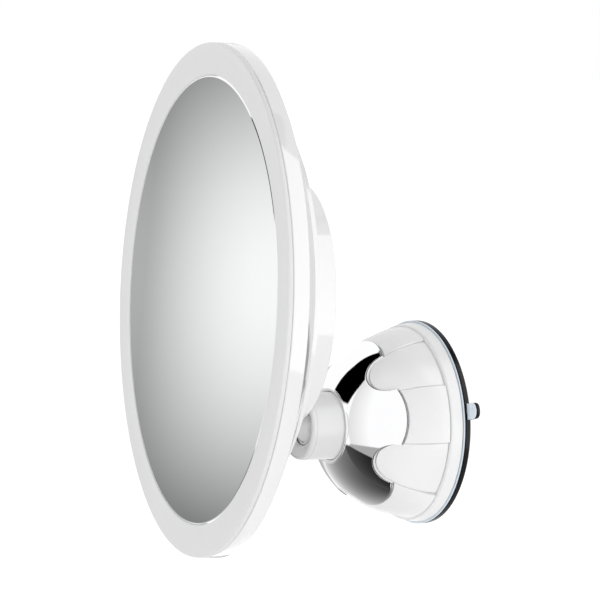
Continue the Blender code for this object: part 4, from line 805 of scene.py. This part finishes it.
def make_stud(finishes, place):
    neck_start = math.asin(-math.sqrt(BALL_RADIUS ** 2 - NECK_RADIUS ** 2) / BALL_RADIUS)
    ball = arc(BALL_RADIUS, neck_start, math.pi / 2, BALL_STEPS, (0, BALL_DEPTH))
    shoulder = HUB_DEPTH + BOSS_PROUD + CLEAR
    points = [
        (0, SHANK_FRONT_DEPTH), (SHANK_RADIUS, SHANK_FRONT_DEPTH), (SHANK_RADIUS, shoulder),
        (NECK_RADIUS, shoulder), *ball[:-1], (0, BALL_DEPTH + BALL_RADIUS),
    ]
    shape = turned(points, MID_SIDES, (0, -BALL_DROP))
    piece("ball_and_neck", shape, finishes["satin_white"], "head", ["ball_stud"], place)


def mount_turned(points, sides=MOUNT_SIDES):
    return turned([(radius, -height) for radius, height in points], sides)


def make_barrel(finishes):
    # Darker white that paints the head's shade on the barrel and collar
    white = finishes["barrel_white_painted_shade"]
    rim = BARREL_RADIUS - BARREL_BAND_INSET
    edge = arc(BARREL_EDGE, 0, math.pi / 2, FILLET_STEPS, (rim - BARREL_EDGE, BARREL_MOUTH - BARREL_EDGE))
    points = [
        (BARREL_FLANGE_RADIUS, BARREL_FOOT), (BARREL_FLANGE_RADIUS, BARREL_FOOT + BARREL_FLANGE),
        (BARREL_RADIUS, BARREL_FOOT + BARREL_FLANGE), (BARREL_RADIUS, BARREL_MOUTH - BARREL_BAND),
        (rim, BARREL_MOUTH - BARREL_BAND + BARREL_BAND_INSET), *edge,
        (BARREL_BORE, BARREL_MOUTH - BARREL_EDGE / 4),
        (BARREL_BORE, BARREL_LEDGE), (BARREL_CHAMBER, BARREL_LEDGE), (BARREL_CHAMBER, BARREL_FLOOR),
        (BARREL_SCREW_HOLE, BARREL_FLOOR), (BARREL_SCREW_HOLE, BARREL_FOOT),
    ]
    piece("barrel_tube", mount_turned(points), white, "mount", ["barrel"])
    points = [
        (COLLAR_RADIUS, COLLAR_LOW), (COLLAR_RADIUS, COLLAR_TOP), (COLLAR_RADIUS - COLLAR_FACE, COLLAR_TOP),
        (COLLAR_LIP_RADIUS, COLLAR_LIP_HEIGHT), (COLLAR_SEAT_RADIUS, COLLAR_LOW),
    ]
    piece("mouth_collar", mount_turned(points, MID_SIDES), white, "mount", ["barrel_collar"])


def dome_inside():
    """Points (radius, height) up the dome's inner side, from the foot to the bore."""
    first = math.pi / 2
    last = math.asin(DOME_BORE / DOME_INSIDE)
    turns = [first + (last - first) * i / DOME_INSIDE_ROWS for i in range(1, DOME_INSIDE_ROWS + 1)]
    return [(DOME_INSIDE * math.sin(t), DOME_CENTRE + DOME_INSIDE_HEIGHT * math.cos(t)) for t in turns]


def dome_rim():
    """Points (radius, height) over the rim, from the bore to the dome's outer side."""
    quarter = math.pi / 2
    rim = DOME_RIM_HEIGHT
    inner_edge = arc(DOME_RIM_ROUND, math.pi, quarter, FILLET_STEPS, (DOME_BORE + DOME_RIM_ROUND, rim))
    outer_edge = arc(DOME_RIM_ROUND, quarter, 0, FILLET_STEPS, (DOME_RIM_RADIUS - DOME_RIM_ROUND, rim))
    return [*inner_edge, *outer_edge]


def dome_point(turn, lean, proud):
    """Point at one turn and lean on the dome's curve, raised or sunk."""
    radius = (DOME_RADIUS + proud) * math.sin(lean)
    height = max(DOME_FOOT, DOME_CENTRE + (DOME_HEIGHT + proud) * math.cos(lean))
    return radius * math.cos(turn), -height, radius * math.sin(turn)


def dome_loop(start, wide, narrow, step, edge):
    """Section of the dome along one column: the cap stands proud of the seat under the grip.

    The number that goes with each corner tells the cap's rounded edge, which is painted with a dark
    reflection, and the bare wall under it from the rest.
    """
    edge_turn = start + petal_turn(wide, narrow, step, edge)
    foot_turn = start + petal_turn(wide, narrow, step, math.pi / 2)
    round_turn = DOME_EDGE_ROUND / DOME_RADIUS
    first = math.asin(DOME_RIM_RADIUS / DOME_RADIUS)
    cap = [(first + (edge - round_turn - first) * k / DOME_ROWS, 0) for k in range(1, DOME_ROWS + 1)]
    bend = []
    for i in range(1, FILLET_STEPS + 1):
        turn = math.pi / 2 * i / FILLET_STEPS
        bend.append((edge - round_turn * (1 - math.sin(turn)), -DOME_EDGE_ROUND * (1 - math.cos(turn))))
    low = edge + DOME_EDGE_SLOPE / DOME_RADIUS
    seat = [(low + (math.pi / 2 - low) * k / DOME_SEAT_ROWS, -DOME_SEAT) for k in range(DOME_SEAT_ROWS + 1)]
    rim = dome_rim()
    loop = [(radius * math.cos(edge_turn), -height, radius * math.sin(edge_turn)) for radius, height in rim]
    for lean, proud in cap + bend + seat:
        loop.append(dome_point(start + petal_turn(wide, narrow, step, max(lean, edge)), lean, proud))
    for radius, height in [(DOME_INSIDE, DOME_FOOT), *dome_inside()]:
        loop.append((radius * math.cos(foot_turn), -height, radius * math.sin(foot_turn)))
    # The bare wall runs from the bend's last corner to the seat's first
    # The bend's corners but the last carry the painted dark reflection
    marks = [0] * (len(rim) + len(cap)) + [PAINTED_REFLECTION_MARK] * (len(bend) - 1) + [BARE_MARK] * 2
    marks += [0] * (len(loop) - len(marks))
    return loop, marks


def column_skin(sections):
    """Closed skin through the sections of the columns, and the numbers of its corners in order."""
    bm = bmesh.new()
    loops = []
    all_marks = []
    for corners, marks in sections:
        loops.append([bm.verts.new(corner) for corner in corners])
        all_marks += marks
    for loop, after in zip(loops, loops[1:] + loops[:1]):
        for i in range(len(loop)):
            j = (i + 1) % len(loop)
            bm.faces.new((loop[i], loop[j], after[j], after[i]))
    bmesh.ops.recalc_face_normals(bm, faces=bm.faces)
    return bm, all_marks


def mark_corners(made, name, marks):
    """Gives a mesh the numbers that its finish draws the bare edge or the thin dark line from: painted shade
    on the grip, a painted dark reflection on the cap.
    """
    paint = made.data.color_attributes.new(name, "FLOAT_COLOR", "POINT")
    for row, mark in zip(paint.data, marks):
        row.color = (mark, mark, mark, 1)


def petal_starts():
    """Turn of the middle of each long petal."""
    return [PETAL_START + math.tau * i / PETAL_PAIRS for i in range(PETAL_PAIRS)]


def make_dome(finishes):
    sections = [dome_loop(start, *column[:4]) for start in petal_starts() for column in petal_columns()]
    bm, marks = column_skin(sections)
    made = piece("dome_shell", bm, finishes["chrome"], "knob", ["lock_dome"],
                 sharp=RELIEF_SHARP_ANGLE)
    # Painted dark reflection along the cap's rounded edge
    mark_corners(made, "line", [float(mark == PAINTED_REFLECTION_MARK) for mark in marks])
    mark_corners(made, "bare", [float(mark == BARE_MARK) for mark in marks])


def petal_columns():
    """Columns of a long petal and a short one.

    Each has shares of their half widths, step, front edge, depth of the crease and rise towards the foot.
    """
    half = []
    for i in range(PETAL_LONG_STEPS + 1):
        share = math.sin(math.pi / 2 * i / PETAL_LONG_STEPS)
        rise = (1 - share ** PETAL_ROUND_POWER) ** (1 / PETAL_ROUND_POWER)
        edge = PETAL_CORNER + (PETAL_TIP - PETAL_CORNER) * rise
        half.append((share, 0, -PETAL_STEP * share, edge, 0, PETAL_LONG_RISE))
    half.append((1, 0, 0, PETAL_CORNER, PETAL_CREASE, PETAL_LONG_RISE))
    for i in range(PETAL_SHORT_STEPS + 1):
        share = i / PETAL_SHORT_STEPS
        edge = PETAL_CORNER + (PETAL_DIP - PETAL_CORNER) * (1 - (1 - share) ** 2)
        half.append((1, share, PETAL_STEP * (1 - share), edge, 0, PETAL_SHORT_RISE))
    mirrored = [(-wide, -narrow, -step, *rest) for wide, narrow, step, *rest in half[:0:-1]]
    return mirrored + half[:-1]


def petal_turn(wide, narrow, step, lean):
    """Turn of a column at one lean: the creases between petals splay towards the foot."""
    share = max(0, lean - PETAL_CORNER) / (math.pi / 2 - PETAL_CORNER)
    long_half = PETAL_LONG_HALF + (PETAL_FOOT_HALF - PETAL_LONG_HALF) * share
    return long_half * wide + (math.pi / PETAL_PAIRS - long_half) * narrow + step


def petal_loop(start, wide, narrow, step, edge, crease, rise):
    """Section of the grip along one column.

    It has a strip beside the cap painted dark as shade of the gap, the rounded front edge, the back to the
    foot and the underside. The number that goes with each corner is 1 on that painted strip, a share of it
    where a crease is painted with shade, and 0 elsewhere.
    """
    quarter = math.pi / 2
    front = edge + (DOME_EDGE_SLOPE + PETAL_GAP) / DOME_RADIUS
    wall = front + PETAL_PAINTED_SHADE_WIDTH / DOME_RADIUS
    round_turn = PETAL_FILLET / DOME_RADIUS
    under = PETAL_GAP - DOME_SEAT
    top = under + PETAL_THICK
    line = [(front, under), (front, top - PETAL_FILLET), (wall, top - PETAL_FILLET)]
    # The painted shade strip's last corner comes again as the first of these, so that its painted colour ends
    # sharply there
    corners = []
    for i in range(FILLET_STEPS + 1):
        turn = quarter * i / FILLET_STEPS
        corners.append((wall + round_turn * (1 - math.cos(turn)), top - PETAL_FILLET * (1 - math.sin(turn))))
    first = wall + round_turn
    for k in range(1, PETAL_ROWS + 1):
        along = k / PETAL_ROWS
        corners.append((first + (quarter - first) * along, top - crease * along + rise * along))
    inside = [(lean, under) for lean, _ in corners[::-1]]
    # Creases get a share of the painted shade
    shade = PETAL_CREASE_PAINTED_SHADE_SHARE if crease else 0.0
    marks = [1.0] * len(line) + [shade] * len(corners) + [0.0] * len(inside)
    places = line + corners + inside
    loop = [dome_point(start + petal_turn(wide, narrow, step, lean), lean, proud) for lean, proud in places]
    return loop, marks


def make_petals(finishes):
    sections = [petal_loop(start, *column) for start in petal_starts() for column in petal_columns()]
    bm, marks = column_skin(sections)
    made = piece("grip_skin", bm, finishes["grip_white_painted_shade"], "knob", ["grip_petals"],
                 sharp=RELIEF_SHARP_ANGLE)
    # Painted shade beside the cap and in the creases
    mark_corners(made, "line", marks)


def tab_shape(inner, low, high, bevel):
    """Peel tab with rounded corners, from the inner radius out past the pad's rim."""
    outer = PAD_RADIUS + TAB_LENGTH
    half = TAB_HALF
    corner = TAB_CORNER
    quarter = math.pi / 2
    outline = [
        (inner, -half), *arc(corner, -quarter, 0, FILLET_STEPS, (outer - corner, -half + corner)),
        *arc(corner, 0, quarter, FILLET_STEPS, (outer - corner, half - corner)), (inner, half),
    ]
    shape = bevelled(prism(outline, -high, -low), bevel)
    shape.transform(Matrix.Rotation(-TAB_ANGLE, 4, "Y"))
    return shape


def make_base(finishes):
    top = arc(BASE_EDGE, math.pi / 2, 0, FILLET_STEPS, (BASE_TOP_RADIUS - BASE_EDGE, BASE_TOP - BASE_EDGE))
    plate = BASE_TOP - BASE_PLATE
    bore_end = SLEEVE_TOP - SLEEVE_END
    points = [
        (0, SLEEVE_TOP), (SLEEVE_RADIUS, SLEEVE_TOP), (SLEEVE_RADIUS, BASE_TOP), *top,
        (BASE_RADIUS, BASE_LOW), (BASE_FOOT_INNER, BASE_LOW), (BASE_FOOT_INNER, plate),
        (SLEEVE_BORE, plate), (SLEEVE_BORE, bore_end), (0, bore_end),
    ]
    white = finishes["satin_white"]
    piece("base_flange", mount_turned(points), white, "mount", ["base_ring"])


def make_film(finishes):
    low = BACKING_LOW
    high = BACKING_HIGH
    edge = BACKING_EDGE
    points = [
        (BACKING_INNER, low), (PAD_RADIUS - edge, low), (PAD_RADIUS, low + edge), (PAD_RADIUS, high - edge),
        (PAD_RADIUS - edge, high), (BACKING_INNER, high),
    ]
    blue = finishes["blue_film"]
    piece("film_layer", mount_turned(points), blue, "mount", ["pad_backing"])
    shape = tab_shape(PAD_RADIUS + TAB_FILM_GAP, TAB_FILM_LOW, TAB_FILM_HIGH, edge)
    piece("film_on_tab", shape, blue, "mount", ["tab_film"])


def make_pad(finishes):
    edge = PAD_EDGE
    rim = arc(edge, 0, math.pi / 2, FILLET_STEPS, (PAD_RADIUS - edge, PAD_THICK - edge))
    points = [(0, 0), (PAD_RADIUS - PAD_FOOT_INSET, 0), (PAD_RADIUS, PAD_FOOT_HEIGHT), *rim, (0, PAD_THICK)]
    tab = tab_shape(PAD_RADIUS - TAB_ROOT, TAB_LOW, TAB_HIGH, TAB_BEVEL)
    shape = combined(mount_turned(points), [("UNION", tab)])
    piece("pad_disc", shape, finishes["black_rubber"], "mount", ["suction_pad"])


def make_camera():
    azimuth = CAMERA_AZIMUTH
    elevation = CAMERA_ELEVATION
    right = Vector((math.cos(azimuth), math.sin(azimuth), 0))
    away = Vector((-math.sin(azimuth) * math.cos(elevation), math.cos(azimuth) * math.cos(elevation),
                   -math.sin(elevation)))
    up = right.cross(away)
    pad = Vector((0, -PAD_SEEN_HEIGHT, 0))
    place = pad - right * PAD_SEEN_RIGHT + up * PAD_SEEN_DOWN - away * PAD_SEEN_AWAY
    data = bpy.data.cameras.new("camera")
    data.sensor_width = CAMERA_SENSOR
    data.lens = CAMERA_SENSOR * CAMERA_LENS_SHARE
    data.clip_end = CAMERA_CLIP
    camera = bpy.data.objects.new("camera", data)
    bpy.context.scene.collection.objects.link(camera)
    turn = Matrix((right, up, -away)).transposed().to_4x4()
    camera.matrix_world = Matrix.Translation(place) @ turn
    bpy.context.scene.camera = camera


def seen_in_white(nodes, links):
    """1 for rays of the camera, of metal and of glass, and 0 for the rest."""
    path = nodes.new("ShaderNodeLightPath")
    first = nodes.new("ShaderNodeMath")
    first.operation = "MAXIMUM"
    second = nodes.new("ShaderNodeMath")
    second.operation = "MAXIMUM"
    links.new(path.outputs["Is Camera Ray"], first.inputs[0])
    links.new(path.outputs["Is Glossy Ray"], first.inputs[1])
    links.new(first.outputs["Value"], second.inputs[0])
    links.new(path.outputs["Is Transmission Ray"], second.inputs[1])
    return second.outputs["Value"]


def make_world():
    """White to the eye and to metal and glass, and an even soft light on everything else."""
    world = bpy.data.worlds.new("studio")
    bpy.context.scene.world = world
    world.use_nodes = True
    nodes = world.node_tree.nodes
    links = world.node_tree.links
    background = nodes["Background"]
    background.inputs["Color"].default_value = (1, 1, 1, 1)
    level = nodes.new("ShaderNodeMapRange")
    level.inputs["To Min"].default_value = WORLD_LEVEL
    level.inputs["To Max"].default_value = 1.0
    links.new(seen_in_white(nodes, links), level.inputs["Value"])
    links.new(level.outputs["Result"], background.inputs["Strength"])


def make_floor():
    """Pale floor that keeps the object's shadow and is white where nothing shades it."""
    bm = bmesh.new()
    corners = [(-FLOOR_HALF, -FLOOR_HALF), (FLOOR_HALF, -FLOOR_HALF), (FLOOR_HALF, FLOOR_HALF),
               (-FLOOR_HALF, FLOOR_HALF)]
    bm.faces.new([bm.verts.new((x, y, FLOOR_HEIGHT)) for x, y in corners])
    floor = plain_object("floor", bm)
    made, nodes, links = new_material("floor_white")
    shader = nodes["Principled BSDF"]
    shader.inputs["Base Color"].default_value = FLOOR_COLOUR
    shader.inputs["Roughness"].default_value = FLOOR_ROUGHNESS
    shader.inputs["Emission Color"].default_value = (1, 1, 1, 1)
    glow = nodes.new("ShaderNodeMapRange")
    glow.inputs["To Max"].default_value = FLOOR_GLOW
    links.new(seen_in_white(nodes, links), glow.inputs["Value"])
    links.new(glow.outputs["Result"], shader.inputs["Emission Strength"])
    floor.data.materials.append(made)
    floor.visible_glossy = False


def direction(azimuth, elevation):
    """Unit vector for a direction in degrees."""
    turn = math.radians(azimuth)
    rise = math.radians(elevation)
    return Vector((math.sin(turn) * math.cos(rise), -math.cos(turn) * math.cos(rise), math.sin(rise)))


def smooth(share):
    """Eased step from 0 to 1."""
    share = min(1, max(0, share))
    return share * share * (3 - 2 * share)


def inside_panel(azimuth, elevation, corners, softness):
    """1 inside the corners, 0 outside, with a soft change across each edge."""
    inside = 1.0
    for (x, y), (far_x, far_y) in zip(corners, corners[1:] + corners[:1]):
        length = math.hypot(far_x - x, far_y - y)
        depth = ((azimuth - x) * (far_y - y) - (elevation - y) * (far_x - x)) / length
        inside *= smooth(depth / softness + 0.5)
    return inside


def studio_level(azimuth, elevation):
    """How bright the studio is in one direction."""
    level = STUDIO_LEVEL
    for _, corners, levels, rise, softness in STUDIO_PANELS:
        left = min(x for x, _ in corners)
        right = max(x for x, _ in corners)
        share = max(0.0, min(1.0, (azimuth - left) / (right - left)))
        own = levels[0] ** (1 - share) * levels[1] ** share * math.exp(rise * (elevation - corners[0][1]))
        level += (own - level) * inside_panel(azimuth, elevation, corners, softness)
    return level


def card_level(across, along):
    """How bright the glass's card is at one place on it."""
    share = (across + CARD_DARK_SIDE) / (CARD_DARK_SIDE + CARD_BRIGHT_SIDE)
    side = math.sin(math.pi / 2 * max(CARD_SIDE_LEAST_SHARE, min(1.0, share)))
    fall = math.cos(math.pi / 2 * min(CARD_FALL_MOST_SHARE, abs(along - CARD_PEAK) / CARD_FALL))
    return CARD_LEVEL * side * fall ** CARD_FALL_POWER


def glowing(name, bm, levels):
    """Stage piece that only polished surfaces see, as bright at each vertex as the levels say."""
    made = plain_object(name, bm)
    shade = made.data.color_attributes.new("level", "FLOAT_COLOR", "POINT")
    for row, level in zip(shade.data, levels):
        row.color = (level, level, level, 1)
    glow, nodes, links = new_material(name)
    nodes.clear()
    tone = nodes.new("ShaderNodeAttribute")
    tone.attribute_name = "level"
    light = nodes.new("ShaderNodeEmission")
    end = nodes.new("ShaderNodeOutputMaterial")
    links.new(tone.outputs["Color"], light.inputs["Color"])
    links.new(light.outputs["Emission"], end.inputs["Surface"])
    made.data.materials.append(glow)
    made.visible_camera = False
    made.visible_diffuse = False
    made.visible_transmission = False
    made.visible_volume_scatter = False
    made.visible_shadow = False


def make_studio():
    """Soft panels and flags round the object, seen only in its metal, glass and gloss."""
    bm = bmesh.new()
    bmesh.ops.create_uvsphere(bm, u_segments=STUDIO_SEGMENTS, v_segments=STUDIO_RINGS, radius=STUDIO_RADIUS)
    levels = []
    for vert in bm.verts:
        azimuth = math.degrees(math.atan2(vert.co.x, -vert.co.y))
        elevation = math.degrees(math.asin(max(-1.0, min(1.0, vert.co.z / STUDIO_RADIUS))))
        levels.append(studio_level(azimuth, elevation))
    glowing("studio_panels", bm, levels)


def make_glass_card():
    """Pale card that the glass shows. It fades towards one side and both ends."""
    out = direction(CARD_AZIMUTH, CARD_ELEVATION)
    across = Vector((-out.y, out.x, 0)).normalized()
    along = out.cross(across)
    middle = Vector(CARD_CENTRE) + out * CARD_REACH
    bm = bmesh.new()
    rows = []
    levels = []
    for i in range(CARD_CUTS[0] + 1):
        side = CARD_HALF[0] * (2 * i / CARD_CUTS[0] - 1)
        row = []
        for j in range(CARD_CUTS[1] + 1):
            rise = CARD_HALF[1] * (2 * j / CARD_CUTS[1] - 1)
            row.append(bm.verts.new(middle + across * side + along * rise))
            levels.append(card_level(side, rise))
        rows.append(row)
    for row, after in zip(rows, rows[1:]):
        for j in range(CARD_CUTS[1]):
            bm.faces.new((row[j], row[j + 1], after[j + 1], after[j]))
    glowing("glass_card", bm, levels)


def make_lamps():
    for name, azimuth, elevation, reach, size, power in LAMPS:
        data = bpy.data.lights.new(name, "AREA")
        data.shape = "DISK"
        data.size = size
        data.energy = power
        lamp = bpy.data.objects.new(name, data)
        bpy.context.scene.collection.objects.link(lamp)
        place = direction(azimuth, elevation) * reach
        lamp.location = place
        lamp.rotation_mode = "QUATERNION"
        lamp.rotation_quaternion = (-place).to_track_quat("-Z", "Y")
        lamp.visible_glossy = False


def main():
    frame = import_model()
    finishes = make_finishes()
    dress_nodes(frame, finishes)
    place = head_place()
    make_glass(finishes, place)
    make_light_ring(finishes, place)
    make_shell_front(finishes, place)
    make_shell_back(finishes, place)
    make_screws(finishes, place)
    make_door(finishes, place)
    make_button(finishes, place)
    make_stud(finishes, place)
    make_barrel(finishes)
    make_dome(finishes)
    make_petals(finishes)
    make_base(finishes)
    make_film(finishes)
    make_pad(finishes)
    make_camera()
    make_world()
    make_floor()
    make_studio()
    make_glass_card()
    make_lamps()
    scene = bpy.context.scene
    scene.view_settings.view_transform = "Standard"


main()
